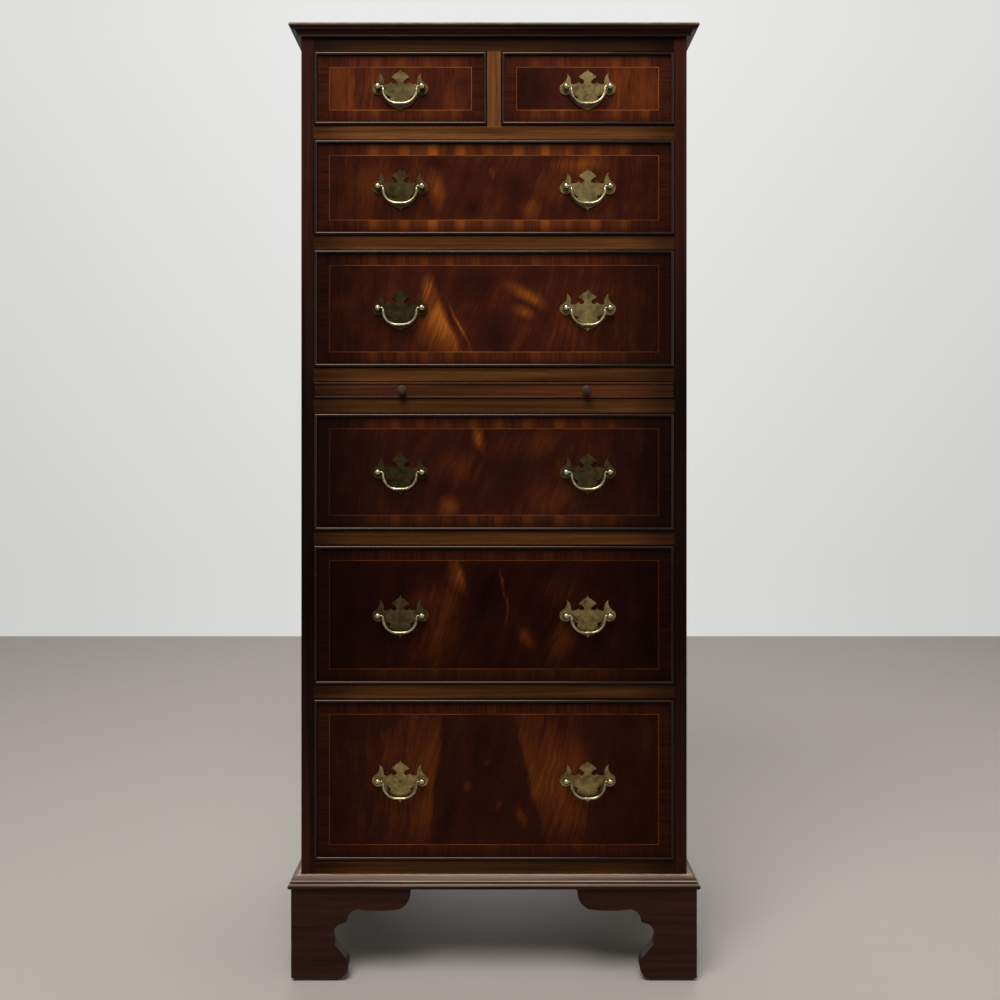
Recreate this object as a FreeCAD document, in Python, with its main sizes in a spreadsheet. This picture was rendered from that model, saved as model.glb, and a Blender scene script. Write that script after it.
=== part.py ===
import FreeCAD, Part
import math
import os

import Sketcher
from FreeCAD import Vector

# Tall mahogany chest: two short over five long drawers, a brushing slide, bracket feet.
# Millimetres. +Z is up, the front faces -Y, the origin lies on the floor under the middle.

SIZES = [
    # Carcass
    ("carcass_width", 564, "outside width over the two side panels"),
    ("carcass_depth", 400, "front of the side panels to their back edge"),
    ("side_thickness", 18, "thickness of a side panel"),
    ("back_thickness", 8, "thickness of the back panel"),
    ("back_rebate", 8, "how far the back panel enters each side panel"),
    ("bottom_thickness", 12, "thickness of the bottom board"),
    ("rail_height", 20, "height of a drawer rail"),
    ("rail_depth", 60, "front-to-back size of a drawer rail"),
    ("divider_width", 20, "width of the upright between the short drawers"),
    ("runner_width", 24, "width of a drawer runner"),
    ("runner_height", 16, "height of a drawer runner"),
    ("guide_height", 18, "height of the guide between the short drawers"),
    ("stop_width", 30, "width of a drawer stop"),
    ("stop_depth", 28, "front-to-back size of a drawer stop"),
    ("stop_height", 5, "height of a drawer stop"),
    ("stop_inset", 110, "middle of a drawer stop from the end of a long opening"),
    ("short_stop_inset", 55, "middle of a drawer stop from the end of a short opening"),
    # Openings from the floor up
    ("long_5_opening", 237, "height of the lowest drawer opening"),
    ("long_4_opening", 205, "height of the fourth long drawer opening"),
    ("long_3_opening", 173, "height of the third long drawer opening"),
    ("slide_opening", 26, "height of the brushing slide opening"),
    ("long_2_opening", 173, "height of the second long drawer opening"),
    ("long_1_opening", 141, "height of the first long drawer opening"),
    ("short_opening", 109, "height of the short drawer openings"),
    # Cornice round the top board
    ("cornice_height", 17, "height of the cornice and thickness of the top board"),
    ("cornice_overhang", 16, "how far the cornice stands out from the carcass"),
    ("cornice_nosing", 7, "height of the rounded nosing"),
    ("cornice_nosing_round", 3.2, "how far the nosing swells"),
    ("cornice_fillet", 2, "height of the flat under the nosing"),
    ("cornice_step", 1.4, "width of the step above the cove"),
    ("cornice_cove_foot", 5.5, "overhang at the foot of the cove"),
    ("cornice_cove_rise", 1.9, "hollow of the cove"),
    ("cornice_bed", 1.6, "height of the flat under the cove"),
    # Base moulding
    ("base_height", 17, "height of the base moulding"),
    ("base_overhang", 17, "how far its bead stands out from the carcass"),
    ("base_bead", 8, "height of the bead"),
    ("base_bead_round", 3.7, "swell of the bead"),
    ("base_quirk_depth", 1.6, "depth of the groove over the bead"),
    ("base_quirk", 1.2, "height of the groove over the bead"),
    ("base_fillet", 1.8, "height of the flat over the groove"),
    ("base_top_flat", 3.5, "width of the flat along the carcass"),
    ("base_ovolo_rise", 1.9, "swell of the rounded top"),
    # Bracket feet
    ("pad_thickness", 5, "thickness of a foot pad"),
    ("pad_inset", 4, "foot pad's outer edge from the face of the foot"),
    ("pad_width", 11, "width of the foot pad's arms"),
    ("foot_height", 129, "height of a bracket over its pad"),
    ("foot_overhang", 12.5, "face of the feet from the carcass"),
    ("bracket_thickness", 19, "thickness of a bracket"),
    ("front_reach", 173, "length of a front bracket"),
    ("side_reach", 140, "length of a side bracket"),
    ("toe_width", 72, "width of the foot on its pad"),
    ("lobe_in", 78.6, "outer face to the top of the lobe"),
    ("lobe_up", 29.6, "height of the top of the lobe"),
    ("lobe_rise", 7.2, "swell of the lobe"),
    ("waist_in", 63.8, "outer face to the foot of the waist"),
    ("waist_up", 47.6, "height of the foot of the waist"),
    ("waist_rise", 6.3, "hollow of the waist"),
    ("throat_in", 69.7, "outer face to the top of the waist"),
    ("throat_up", 77.7, "height of the top of the waist"),
    ("cusp_in", 80.6, "outer face to the cusp"),
    ("cusp_up", 81.3, "height of the cusp"),
    ("notch_in", 96.4, "outer face to the end of the round notch"),
    ("notch_rise", 4.7, "hollow of the round notch"),
    ("arm_height", 29.3, "height of the bracket's arm"),
    ("arm_sag", 2.1, "how far the arm's lower edge sags"),
    ("tip_length", 16, "length of the rounded end of the arm"),
    ("tip_rise", 5.7, "swell of the rounded end"),
    ("rear_board_reach", 130, "length of a plain rear board"),
    ("rear_board_toe", 72, "its length at the floor"),
    ("block_size", 34, "side of a glue block"),
    ("block_lift", 12, "glue block's foot above the pad"),
    # Drawers
    ("gap_side", 1.0, "gap at each end of a drawer front"),
    ("gap_top", 1.4, "gap over a drawer front"),
    ("gap_bottom", 1.0, "gap under a drawer front"),
    ("running_gap", 0.3, "gap between moving wood and what it runs on"),
    ("front_thickness", 20, "thickness of a drawer front"),
    ("drawer_back_gap", 22, "gap between a drawer and the back panel"),
    ("bead_width", 4.6, "thickness of the cockbead strips"),
    ("bead_depth", 9, "how far the cockbead is let into the front"),
    ("bead_proud", 3.6, "how far the cockbead stands proud"),
    ("bead_round", 2.1, "swell of the cockbead's nose"),
    ("bead_mitre_gap", 0.1, "hairline in the cockbead's mitres"),
    ("lining_thickness", 9, "thickness of the drawer sides and back"),
    ("bottom_panel", 6, "thickness of a drawer bottom"),
    ("bottom_rise", 8, "drawer bottom above the sides' lower edge"),
    ("groove_depth", 4, "depth of the groove that holds the bottom"),
    ("panel_gap", 0.3, "play of a drawer bottom in its groove"),
    ("side_drop", 4, "drawer sides below the top of the front"),
    ("back_drop", 10, "drawer back below the top of the sides"),
    ("tail_length", 10, "length of the dovetails in the front"),
    ("tail_flare", 1.6, "how far a dovetail widens on each edge"),
    ("tail_root", 7, "half width of a dovetail at its root"),
    # Brushing slide
    ("slide_back_gap", 47, "gap between the slide and the back panel"),
    ("lipping_depth", 22, "front-to-back size of the slide's lipping"),
    ("lipping_bead", 3.4, "diameter of the beads along the lipping"),
    ("lipping_bead_proud", 1.5, "how far those beads stand out"),
    ("knob_inset", 134.5, "slide knob from the middle"),
    ("knob_radius", 7.2, "radius of a slide knob"),
    ("knob_neck", 3.4, "radius of a slide knob's neck"),
    ("knob_length", 13.5, "how far a slide knob stands out"),
    ("knob_belly", 10.6, "widest part of a slide knob from the lipping"),
    ("knob_neck_length", 2.9, "length of a slide knob's neck"),
    ("knob_face_rise", 1.3, "swell of a slide knob's face"),
    ("knob_back_rise", 0.8, "swell of a slide knob's back"),
    ("knob_dowel", 8, "length of its dowel in the lipping"),
    # Handles
    ("handle_reach", 137, "middle of a long drawer to each handle"),
    ("handle_spacing", 64, "distance between a handle's posts"),
    ("plate_thickness", 1.6, "thickness of a backplate"),
    ("bail_offset", 10, "bail's axis from the drawer face"),
    ("ball_radius", 4.7, "radius of a post's ball head"),
    ("neck_radius", 2.8, "radius of a post's neck"),
    ("collar_radius", 4.6, "radius of a post's collar"),
    ("collar_height", 1.2, "height of a post's collar"),
    ("shank_radius", 2.2, "radius of a post's shank"),
    ("shank_gap", 0.1, "gap round a shank in its hole"),
    ("shank_tail", 1.5, "length of the shank beyond its nut"),
    ("nut_radius", 5.5, "radius of a post's nut over its corners"),
    ("nut_thickness", 3.5, "thickness of a post's nut"),
    ("bail_half_width", 24.3, "middle of the bail to its upright"),
    ("bail_drop", 24.6, "bail's axis to the middle of its grip"),
    ("bail_corner", 20, "radius of the bail's lower corners"),
    ("bail_bend", 2.4, "radius of the bend by each pin"),
    ("pin_radius", 1.25, "radius of the bail's pins"),
    ("grip_radius", 1.9, "radius of the bail's grip"),
    ("pin_gap", 0.05, "gap round a pin in its ball"),
    ("pin_end_gap", 0.4, "gap at the end of a pin"),
]

# Backplate corners in their order from the crown to the foot, with the rise of the arc
# that leads on to the next corner: above 0 swells, below 0 is hollow, 0 is straight.
PLATE_CROWN = [
    ("crown_tip", 0, 28.4, -0.4),
    ("crown_neck", 2.4, 24.2, 0.7),
    ("crown_notch", 7.4, 20.8, 0.8),
    ("crown_barb", 12.8, 15.8, -0.9),
    ("waist", 4.8, 10, -3.2),
    ("spur", 13.2, 9.2, -0.9),
    ("shoulder", 21.5, 5.8, 0),
]
PLATE_EAR = [
    ("horn_root", -7.4, 6.7, 2.4),
    ("horn_tip", -1.5, 22, -2.7),
    ("ear_top", 4.6, 6.7, 1.36),
    ("ear_side", 8.8, -0.8, 5.7),
    ("ear_foot", -6.4, -7, 5.3),
]
PLATE_BELLY = [
    ("rim", 3.2, -29.9, -0.4),
    ("drop_tip", 0, -34, 0),
]

# The hole pierced through each side of the belly, clockwise from its top
PLATE_PIERCING = [
    ("pierced_top", 21, -7.4, 1.4),
    ("pierced_foot", 12.8, -21.4, -0.6),
    ("pierced_barb", 15.4, -15.4, 0),
    ("pierced_notch", 13.4, -12.4, -1),
]

# Drawers: name, opening, side of the middle (0 is full width), dovetails in each corner
DRAWERS = [
    ("short_drawer_left", "short_opening", -1, 2),
    ("short_drawer_right", "short_opening", 1, 2),
    ("long_drawer_1", "long_1_opening", 0, 3),
    ("long_drawer_2", "long_2_opening", 0, 4),
    ("long_drawer_3", "long_3_opening", 0, 4),
    ("long_drawer_4", "long_4_opening", 0, 5),
    ("long_drawer_5", "long_5_opening", 0, 6),
]

# Points of a sketched edge
START, END, CENTRE = 1, 2, 3

# Rise of a quarter circle as a share of its radius
QUARTER_RISE = 1 - 0.5 ** 0.5

# Middle of a hexagon to its flat as a share of its corner radius
HEXAGON_FLAT = 0.75 ** 0.5

doc = FreeCAD.newDocument("tall_chest")
sheet = doc.addObject("Spreadsheet::Sheet", "Sizes")
nodes = []


def fill_sheet():
    """Write every size to the sheet: name, value and meaning."""
    rows = list(SIZES)
    for corners in (PLATE_CROWN, PLATE_EAR, PLATE_BELLY, PLATE_PIERCING):
        for name, across, up, rise in corners:
            rows.append(("plate_%s_across" % name, across, "backplate corner, across"))
            rows.append(("plate_%s_up" % name, up, "backplate corner, up from the posts"))
            rows.append(("plate_%s_rise" % name, rise, "rise of the arc after it"))
    for row, (name, value, meaning) in enumerate(rows, start=1):
        sheet.set("A%d" % row, name)
        sheet.set("B%d" % row, str(value))
        sheet.setAlias("B%d" % row, name)
        sheet.set("C%d" % row, meaning)
    doc.recompute()


class Length:
    """A value in millimetres with the sheet formula that it comes from."""

    def __init__(self, value, formula):
        self.value = value
        self.formula = formula

    def __add__(self, other):
        other = length(other)
        return Length(self.value + other.value, "(%s + %s)" % (self.formula, other.formula))

    def __sub__(self, other):
        other = length(other)
        return Length(self.value - other.value, "(%s - %s)" % (self.formula, other.formula))

    def __mul__(self, other):
        other = length(other)
        return Length(self.value * other.value, "(%s * %s)" % (self.formula, other.formula))

    def __truediv__(self, other):
        other = length(other)
        return Length(self.value / other.value, "(%s / %s)" % (self.formula, other.formula))

    def __neg__(self):
        return length(0) - self


def length(item):
    """A Length as it is, or a plain number as one."""
    return item if isinstance(item, Length) else Length(float(item), "%.9g" % item)


def size(name):
    """The Length of a named cell."""
    return Length(float(sheet.get(name)), "Sizes.%s" % name)


def root(item):
    """The square root of a Length."""
    return Length(item.value ** 0.5, "sqrt(%s)" % item.formula)


def bind(obj, prop, item):
    """Bind a property of an object to a Length."""
    obj.setExpression(prop, length(item).formula)


def place(obj, x, y, z):
    """Bind an object's position."""
    bind(obj, "Placement.Base.x", x)
    bind(obj, "Placement.Base.y", y)
    bind(obj, "Placement.Base.z", z)
    return obj


def node(obj, label):
    """Name a finished sub-part and keep it for writing."""
    obj.Label = label
    nodes.append(obj)
    return obj


def group(label, members):
    """One sub-part of several separate solids."""
    compound = doc.addObject("Part::Compound", label)
    compound.Links = members
    return node(compound, label)


def board(name, low, high):
    """A plain board between two corners."""
    box = doc.addObject("Part::Box", name)
    for prop, start, end in zip(("Length", "Width", "Height"), low, high):
        bind(box, prop, length(end) - start)
    return place(box, *low)


def mirrored(source, name, normal):
    """A mirror image across a plane through the origin."""
    image = doc.addObject("Part::Mirroring", name)
    image.Source = source
    image.Normal = normal
    return image


def copy_at(source, name, x, y, z):
    """Another copy of a master piece."""
    link = doc.addObject("App::Link", name)
    link.LinkedObject = source
    return place(link, x, y, z)


def new_body(name):
    """An empty body."""
    return doc.addObject("PartDesign::Body", name)


def as_lengths(corner):
    """A corner of (across, up) or (across, up, rise) as three Lengths."""
    corner = tuple(length(item) for item in corner)
    return corner if len(corner) == 3 else corner + (length(0),)


def arc_middle(start, end, rise):
    """Middle of the arc between two corners that rises left of its chord by so much."""
    across = end[0] - start[0]
    up = end[1] - start[1]
    square = across * across + up * up
    share = (rise / 2 - square / (rise * 8)) / root(square)
    return (start[0] + end[0]) / 2 - up * share, (start[1] + end[1]) / 2 + across * share


def add_edge(sketch, start, end, rise):
    """Add a line or an arc; returns its number and the ends that lie at start and end."""
    first = Vector(start[0].value, start[1].value, 0)
    last = Vector(end[0].value, end[1].value, 0)
    if rise.value == 0:
        return sketch.addGeometry(Part.LineSegment(first, last), False), START, END
    middle = arc_middle(start, end, rise)
    centre = Vector(middle[0].value, middle[1].value, 0)
    opening, closing = (last, first) if rise.value > 0 else (first, last)
    begin = math.atan2(opening.y - centre.y, opening.x - centre.x)
    finish = math.atan2(closing.y - centre.y, closing.x - centre.x)
    if finish < begin:
        finish += 2 * math.pi
    full = Part.Circle(centre, Vector(0, 0, 1), (first - centre).Length)
    edge = sketch.addGeometry(Part.ArcOfCircle(full, begin, finish), False)
    steep = abs(last.y - first.y) > abs(last.x - first.x)
    kind, item = ("DistanceX", middle[0]) if steep else ("DistanceY", middle[1])
    number = sketch.addConstraint(Sketcher.Constraint(kind, -1, 1, edge, CENTRE, item.value))
    bind(sketch, "Constraints[%d]" % number, item)
    return (edge, END, START) if rise.value > 0 else (edge, START, END)


def sketch_on(body, name, plane, shift=0):
    """An empty sketch on one of the body's own planes, moved along the plane's normal."""
    sketch = body.newObject("Sketcher::SketchObject", name)
    support = [item for item in body.Origin.OriginFeatures if item.Role == plane][0]
    sketch.AttachmentSupport = [(support, "")]
    sketch.MapMode = "FlatFace"
    bind(sketch, "AttachmentOffset.Base.z", shift)
    return sketch


def fix_point(sketch, edge, end, corner):
    """Bind a point of an edge to a corner."""
    for kind, item in zip(("DistanceX", "DistanceY"), corner):
        rule = Sketcher.Constraint(kind, -1, 1, edge, end, item.value)
        bind(sketch, "Constraints[%d]" % sketch.addConstraint(rule), item)


def outline(body, name, plane, loops, shift=0):
    """A sketch of closed loops of corners (across, up) or (across, up, rise)."""
    sketch = sketch_on(body, name, plane, shift)
    for loop in loops:
        corners = [as_lengths(corner) for corner in loop]
        edges = []
        for corner, following in zip(corners, corners[1:] + corners[:1]):
            edges.append(add_edge(sketch, corner[:2], following[:2], corner[2]))
        for index, corner in enumerate(corners):
            edge, begin, _ = edges[index]
            before, _, finish = edges[index - 1]
            sketch.addConstraint(Sketcher.Constraint("Coincident", before, finish, edge, begin))
            fix_point(sketch, edge, begin, corner)
    return sketch


def circle(body, name, plane, across, up, radius, shift=0):
    """A sketch of one circle."""
    sketch = sketch_on(body, name, plane, shift)
    across, up, radius = length(across), length(up), length(radius)
    middle = Vector(across.value, up.value, 0)
    edge = sketch.addGeometry(Part.Circle(middle, Vector(0, 0, 1), radius.value), False)
    fix_point(sketch, edge, CENTRE, (across, up))
    number = sketch.addConstraint(Sketcher.Constraint("Radius", edge, radius.value))
    bind(sketch, "Constraints[%d]" % number, radius)
    return sketch


def rectangle(low, high):
    """The corners of a rectangle."""
    return [(low[0], low[1]), (high[0], low[1]), (high[0], high[1]), (low[0], high[1])]


def pad(body, sketch, depth, back=False, both=False):
    """Pad a sketch along its plane's normal, back from it, or half each way."""
    feature = body.newObject("PartDesign::Pad", sketch.Name + "_pad")
    feature.Profile = sketch
    bind(feature, "Length", depth)
    feature.Reversed = back
    if both:
        feature.SideType = "Symmetric"
    return feature


def pocket(body, sketch, depth=None, along=False):
    """Cut a sketch back from its plane, along its normal, or through all both ways."""
    feature = body.newObject("PartDesign::Pocket", sketch.Name + "_cut")
    feature.Profile = sketch
    if depth is None:
        feature.SideType = "Symmetric"
        feature.Type = "ThroughAll"
    else:
        bind(feature, "Length", depth)
        feature.Reversed = along
    return feature


def revolve(body, sketch, axis="V_Axis", angle=360):
    """Turn a sketch round one of its own axes."""
    feature = body.newObject("PartDesign::Revolution", sketch.Name + "_turn")
    feature.Profile = sketch
    feature.ReferenceAxis = (sketch, [axis])
    feature.Angle = angle
    return feature


fill_sheet()

# Main planes
half_width = size("carcass_width") / 2
half_inside = half_width - size("side_thickness")
front_y = (size("base_overhang") - size("carcass_depth")) / 2
back_y = front_y + size("carcass_depth")
back_face_y = back_y - size("back_thickness")
rail_back_y = front_y + size("rail_depth")
base_z = size("pad_thickness") + size("foot_height")
first_z = base_z + size("base_height") + size("rail_height")


def opening_levels():
    """The lower edge of each opening, worked out from the floor up, and the carcass top."""
    levels = {}
    level = first_z
    names = ["long_5_opening", "long_4_opening", "long_3_opening", "slide_opening"]
    names += ["long_2_opening", "long_1_opening", "short_opening"]
    for name in names:
        levels[name] = level
        level = level + size(name) + size("rail_height")
    return levels, level


LEVELS, top_z = opening_levels()


def side_panels():
    """Side panels with a rebate for the back."""
    body = new_body("side_board_right")
    rebate_x = half_inside + size("back_rebate")
    plan = [
        (half_inside, front_y),
        (half_width, front_y),
        (half_width, back_y),
        (rebate_x, back_y),
        (rebate_x, back_face_y),
        (half_inside, back_face_y),
    ]
    pad(body, outline(body, "side_plan", "XY_Plane", [plan]), top_z - base_z)
    place(body, 0, 0, base_z)
    node(body, "side_panel_right")
    node(mirrored(body, "side_board_left", Vector(1, 0, 0)), "side_panel_left")


def plain_panels():
    """Top board, bottom board and back panel."""
    low = (-half_width, front_y, top_z)
    high = (half_width, back_y, top_z + size("cornice_height"))
    node(board("top", low, high), "top_board")
    low = (-half_inside, rail_back_y, base_z)
    high = (half_inside, back_face_y, base_z + size("bottom_thickness"))
    node(board("bottom", low, high), "bottom_board")
    reach = half_inside + size("back_rebate")
    node(board("back", (-reach, back_face_y, base_z), (reach, back_y, top_z)), "back_panel")


def moulding(label, section, overhang, level):
    """A moulding round the front and both sides, mitred at the front corners."""
    section = [as_lengths(corner) for corner in section]
    outer = half_width + overhang
    front = new_body(label + "_front_run")
    profile = [(front_y - out, up, -rise) for out, up, rise in section]
    run = outline(front, label + "_front_section", "YZ_Plane", [profile])
    pad(front, run, outer * 2, both=True)
    corners = []
    for hand in (1, -1):
        tip = (outer * hand, front_y - overhang)
        heel = (half_width * hand, front_y)
        corners.append([tip, (tip[0], front_y), heel])
    pocket(front, outline(front, label + "_front_mitres", "XY_Plane", corners))
    place(front, 0, 0, level)

    side = new_body(label + "_side_run")
    profile = [(half_width + out, up, rise) for out, up, rise in section]
    run = outline(side, label + "_side_section", "XZ_Plane", [profile], -back_y)
    pad(side, run, size("carcass_depth") + overhang)
    mitre = [(outer, front_y - overhang), (half_width, front_y - overhang), (half_width, front_y)]
    pocket(side, outline(side, label + "_side_mitre", "XY_Plane", [mitre]))
    place(side, 0, 0, level)
    other = mirrored(side, label + "_left_run", Vector(1, 0, 0))
    group(label, [front, side, other])


def cornice():
    """Rounded nosing, fillet, cove and bed, from the top down."""
    height = size("cornice_height")
    nose = size("cornice_overhang") - size("cornice_nosing_round")
    under_nosing = height - size("cornice_nosing")
    cove_top = under_nosing - size("cornice_fillet")
    cove_out = nose - size("cornice_step")
    foot = size("cornice_cove_foot")
    section = [
        (0, 0),
        (foot, 0),
        (foot, size("cornice_bed"), size("cornice_cove_rise")),
        (cove_out, cove_top),
        (nose, cove_top),
        (nose, under_nosing, size("cornice_nosing_round") * -1),
        (nose, height),
        (0, height),
    ]
    moulding("cornice", section, size("cornice_overhang"), top_z)


def base_moulding():
    """Bead, groove, fillet and rounded top, from the bottom up."""
    bead = size("base_bead")
    seat = size("base_overhang") - size("base_bead_round")
    groove = seat - size("base_quirk_depth")
    over_groove = bead + size("base_quirk")
    ovolo_foot = over_groove + size("base_fillet")
    section = [
        (0, 0),
        (seat, 0, -size("base_bead_round")),
        (seat, bead),
        (groove, bead),
        (groove, over_groove),
        (seat, over_groove),
        (seat, ovolo_foot, -size("base_ovolo_rise")),
        (size("base_top_flat"), size("base_height")),
        (0, size("base_height")),
    ]
    moulding("base_moulding", section, size("base_overhang"), base_z)


def rails_and_divider():
    """Rails over and under every opening, and the upright between the short drawers."""
    rails = []
    low = (-half_inside, front_y, base_z)
    rails.append(board("bottom_rail", low, (half_inside, rail_back_y, first_z)))
    for name, level in LEVELS.items():
        lower = level + size(name)
        upper = lower + size("rail_height")
        low = (-half_inside, front_y, lower)
        rails.append(board("rail_over_" + name, low, (half_inside, rail_back_y, upper)))
    group("drawer_rails", rails)
    half = size("divider_width") / 2
    level = LEVELS["short_opening"]
    high = (half, rail_back_y, level + size("short_opening"))
    node(board("divider", (-half, front_y, level), high), "centre_divider")


def runners_and_stops():
    """Runners beside every opening, kickers over the short drawers, a guide, and stops."""
    runners = []
    inner = half_inside - size("runner_width")
    for name, level in LEVELS.items():
        low = (inner, rail_back_y, level - size("runner_height"))
        runner = board("runner_" + name, low, (half_inside, back_face_y, level))
        runners += [runner, mirrored(runner, "runner_left_" + name, Vector(1, 0, 0))]
    level = LEVELS["short_opening"]
    half_runner = size("divider_width") / 2 + size("runner_width")
    low = (-half_runner, rail_back_y, level - size("runner_height"))
    runners.append(board("middle_runner", low, (half_runner, back_face_y, level)))
    half_guide = size("divider_width") / 2
    high = (half_guide, back_face_y, level + size("guide_height"))
    runners.append(board("middle_guide", (-half_guide, rail_back_y, level), high))
    kicker_z = level + size("short_opening")
    kicker = board("kicker", (inner, rail_back_y, kicker_z), (half_inside, back_face_y, top_z))
    runners += [kicker, mirrored(kicker, "kicker_left", Vector(1, 0, 0))]
    low = (-half_runner, rail_back_y, kicker_z)
    runners.append(board("middle_kicker", low, (half_runner, back_face_y, top_z)))
    group("drawer_runners", runners)

    stops = []
    near_y = front_y + size("front_thickness")
    half_stop = size("stop_width") / 2
    for name, opening, hand, _ in DRAWERS:
        middle, half = drawer_span(hand)
        level = LEVELS[opening]
        inset = size("short_stop_inset" if hand else "stop_inset")
        for end in (-1, 1):
            x = middle + (half - inset) * end
            low = (x - half_stop, near_y, level)
            high = (x + half_stop, near_y + size("stop_depth"), level + size("stop_height"))
            stops.append(board("stop_%s_%d" % (name, end), low, high))
    group("drawer_stops", stops)


def drawer_span(hand):
    """The middle and half width of a drawer's opening."""
    if hand == 0:
        return length(0), half_inside
    half_divider = size("divider_width") / 2
    return (half_inside + half_divider) / 2 * hand, (half_inside - half_divider) / 2


def bracket_outline(reach):
    """The shaped edge of a bracket, across from its outer face and up from its pad."""
    height = size("foot_height")
    arm = height - size("arm_height")
    corners = [
        (0, 0),
        (size("toe_width"), 0, -size("lobe_rise")),
        (size("lobe_in"), size("lobe_up")),
        (size("waist_in"), size("waist_up"), size("waist_rise")),
        (size("throat_in"), size("throat_up")),
        (size("cusp_in"), size("cusp_up"), size("notch_rise")),
        (size("notch_in"), arm, -size("arm_sag")),
        (reach - size("tip_length"), arm, -size("tip_rise")),
        (reach, height),
        (0, height),
    ]
    return [as_lengths(corner) for corner in corners]


def feet():
    """Front and side brackets mitred together, plain rear boards, glue blocks and pads."""
    thick = size("bracket_thickness")
    outer_x = half_width + size("foot_overhang")
    outer_y = front_y - size("foot_overhang")
    pad_z = size("pad_thickness")

    front = new_body("front_bracket")
    corners = bracket_outline(size("front_reach"))
    edge = [(across - outer_x, up, rise) for across, up, rise in corners]
    pad(front, outline(front, "front_bracket_edge", "XZ_Plane", [edge], -outer_y), thick, back=True)
    mitre = [(-outer_x, outer_y), (-outer_x, outer_y + thick), (thick - outer_x, outer_y + thick)]
    pocket(front, outline(front, "front_bracket_mitre", "XY_Plane", [mitre]))
    place(front, 0, 0, pad_z)

    side = new_body("side_bracket")
    corners = bracket_outline(size("side_reach"))
    edge = [(across + outer_y, up, rise) for across, up, rise in corners]
    pad(side, outline(side, "side_bracket_edge", "YZ_Plane", [edge], -outer_x), thick)
    mitre = [(-outer_x, outer_y), (thick - outer_x, outer_y), (thick - outer_x, outer_y + thick)]
    pocket(side, outline(side, "side_bracket_mitre", "XY_Plane", [mitre]))
    place(side, 0, 0, pad_z)
    pair = group("front_foot_left", [front, side])
    node(mirrored(pair, "front_foot_right", Vector(1, 0, 0)), "front_foot_right")

    rear_side = new_body("rear_side_bracket")
    edge = [(back_y - across, up, -rise) for across, up, rise in corners]
    pad(rear_side, outline(rear_side, "rear_side_edge", "YZ_Plane", [edge], -outer_x), thick)
    place(rear_side, 0, 0, pad_z)
    rear = new_body("rear_board")
    inner_x = thick - outer_x
    edge = [
        (inner_x, 0),
        (inner_x + size("rear_board_toe") - thick, 0),
        (inner_x + size("rear_board_reach") - thick, size("foot_height")),
        (inner_x, size("foot_height")),
    ]
    pad(rear, outline(rear, "rear_board_edge", "XZ_Plane", [edge], -back_y), thick)
    place(rear, 0, 0, pad_z)
    pair = group("rear_foot_left", [rear_side, rear])
    node(mirrored(pair, "rear_foot_right", Vector(1, 0, 0)), "rear_foot_right")

    blocks = []
    pads = []
    for name, corner_y, inward in (("front", outer_y, 1), ("rear", back_y, -1)):
        for hand in (-1, 1):
            near = (outer_x - thick) * hand
            far = near - size("block_size") * hand
            start = corner_y + thick * inward
            end = start + size("block_size") * inward
            low = (near if hand < 0 else far, start if inward > 0 else end, pad_z + size("block_lift"))
            high = (far if hand < 0 else near, end if inward > 0 else start, base_z)
            blocks.append(board("block_%s_%d" % (name, hand), low, high))
            pads.append(foot_pad("pad_%s_%d" % (name, hand), hand, outer_x, corner_y, inward))
    group("foot_blocks", blocks)
    group("foot_pads", pads)


def foot_pad(name, hand, outer_x, corner_y, inward):
    """An L-shaped pad under one foot."""
    body = new_body(name)
    inset = size("pad_inset")
    inner = inset + size("pad_width")
    toe = size("toe_width") - inset
    steps = [(inset, inset), (toe, inset), (toe, inner), (inner, inner), (inner, toe), (inset, toe)]
    corners = [((outer_x - across) * hand, corner_y + along * inward) for across, along in steps]
    pad(body, outline(body, name + "_plan", "XY_Plane", [corners]), size("pad_thickness"))
    return body


def dovetails(count, low, high, root_y, end_y):
    """Dovetails between two heights, each as the four corners from its lower root up."""
    root = size("tail_root")
    wide = root + size("tail_flare")
    pitch = (high - low) / count
    tails = []
    for index in range(count):
        middle = low + pitch * (index + 0.5)
        tails.append([
            (root_y, middle - root),
            (end_y, middle - wide),
            (end_y, middle + wide),
            (root_y, middle + root),
        ])
    return tails


class Drawer:
    """The sizes of one drawer, in its own frame: origin in the middle of its face."""

    def __init__(self, name, opening, hand, tails):
        self.name = name
        self.hand = hand
        middle, half_opening = drawer_span(hand)
        self.half_width = half_opening - size("gap_side")
        height = size(opening) - size("gap_top") - size("gap_bottom")
        self.half_height = height / 2
        self.origin = (middle, front_y, LEVELS[opening] + size("gap_bottom") + self.half_height)
        self.low_z = size("running_gap") - size("gap_bottom") - self.half_height
        self.high_z = self.half_height - size("side_drop")
        self.panel_z = self.low_z + size("bottom_rise")
        self.groove_z = self.panel_z + size("bottom_panel") + size("panel_gap")
        self.back_high_z = self.high_z - size("back_drop")
        self.front_back_y = size("front_thickness")
        self.end_y = back_face_y - size("drawer_back_gap") - front_y
        self.back_y = self.end_y - size("lining_thickness")
        tail_end = self.front_back_y - size("tail_length")
        self.front_tails = dovetails(tails, self.low_z, self.high_z, self.front_back_y, tail_end)
        self.back_tails = dovetails(tails, self.groove_z, self.back_high_z, self.back_y, self.end_y)
        self.handles = [length(0)]
        if hand == 0:
            self.handles = [-size("handle_reach"), size("handle_reach")]


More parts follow.
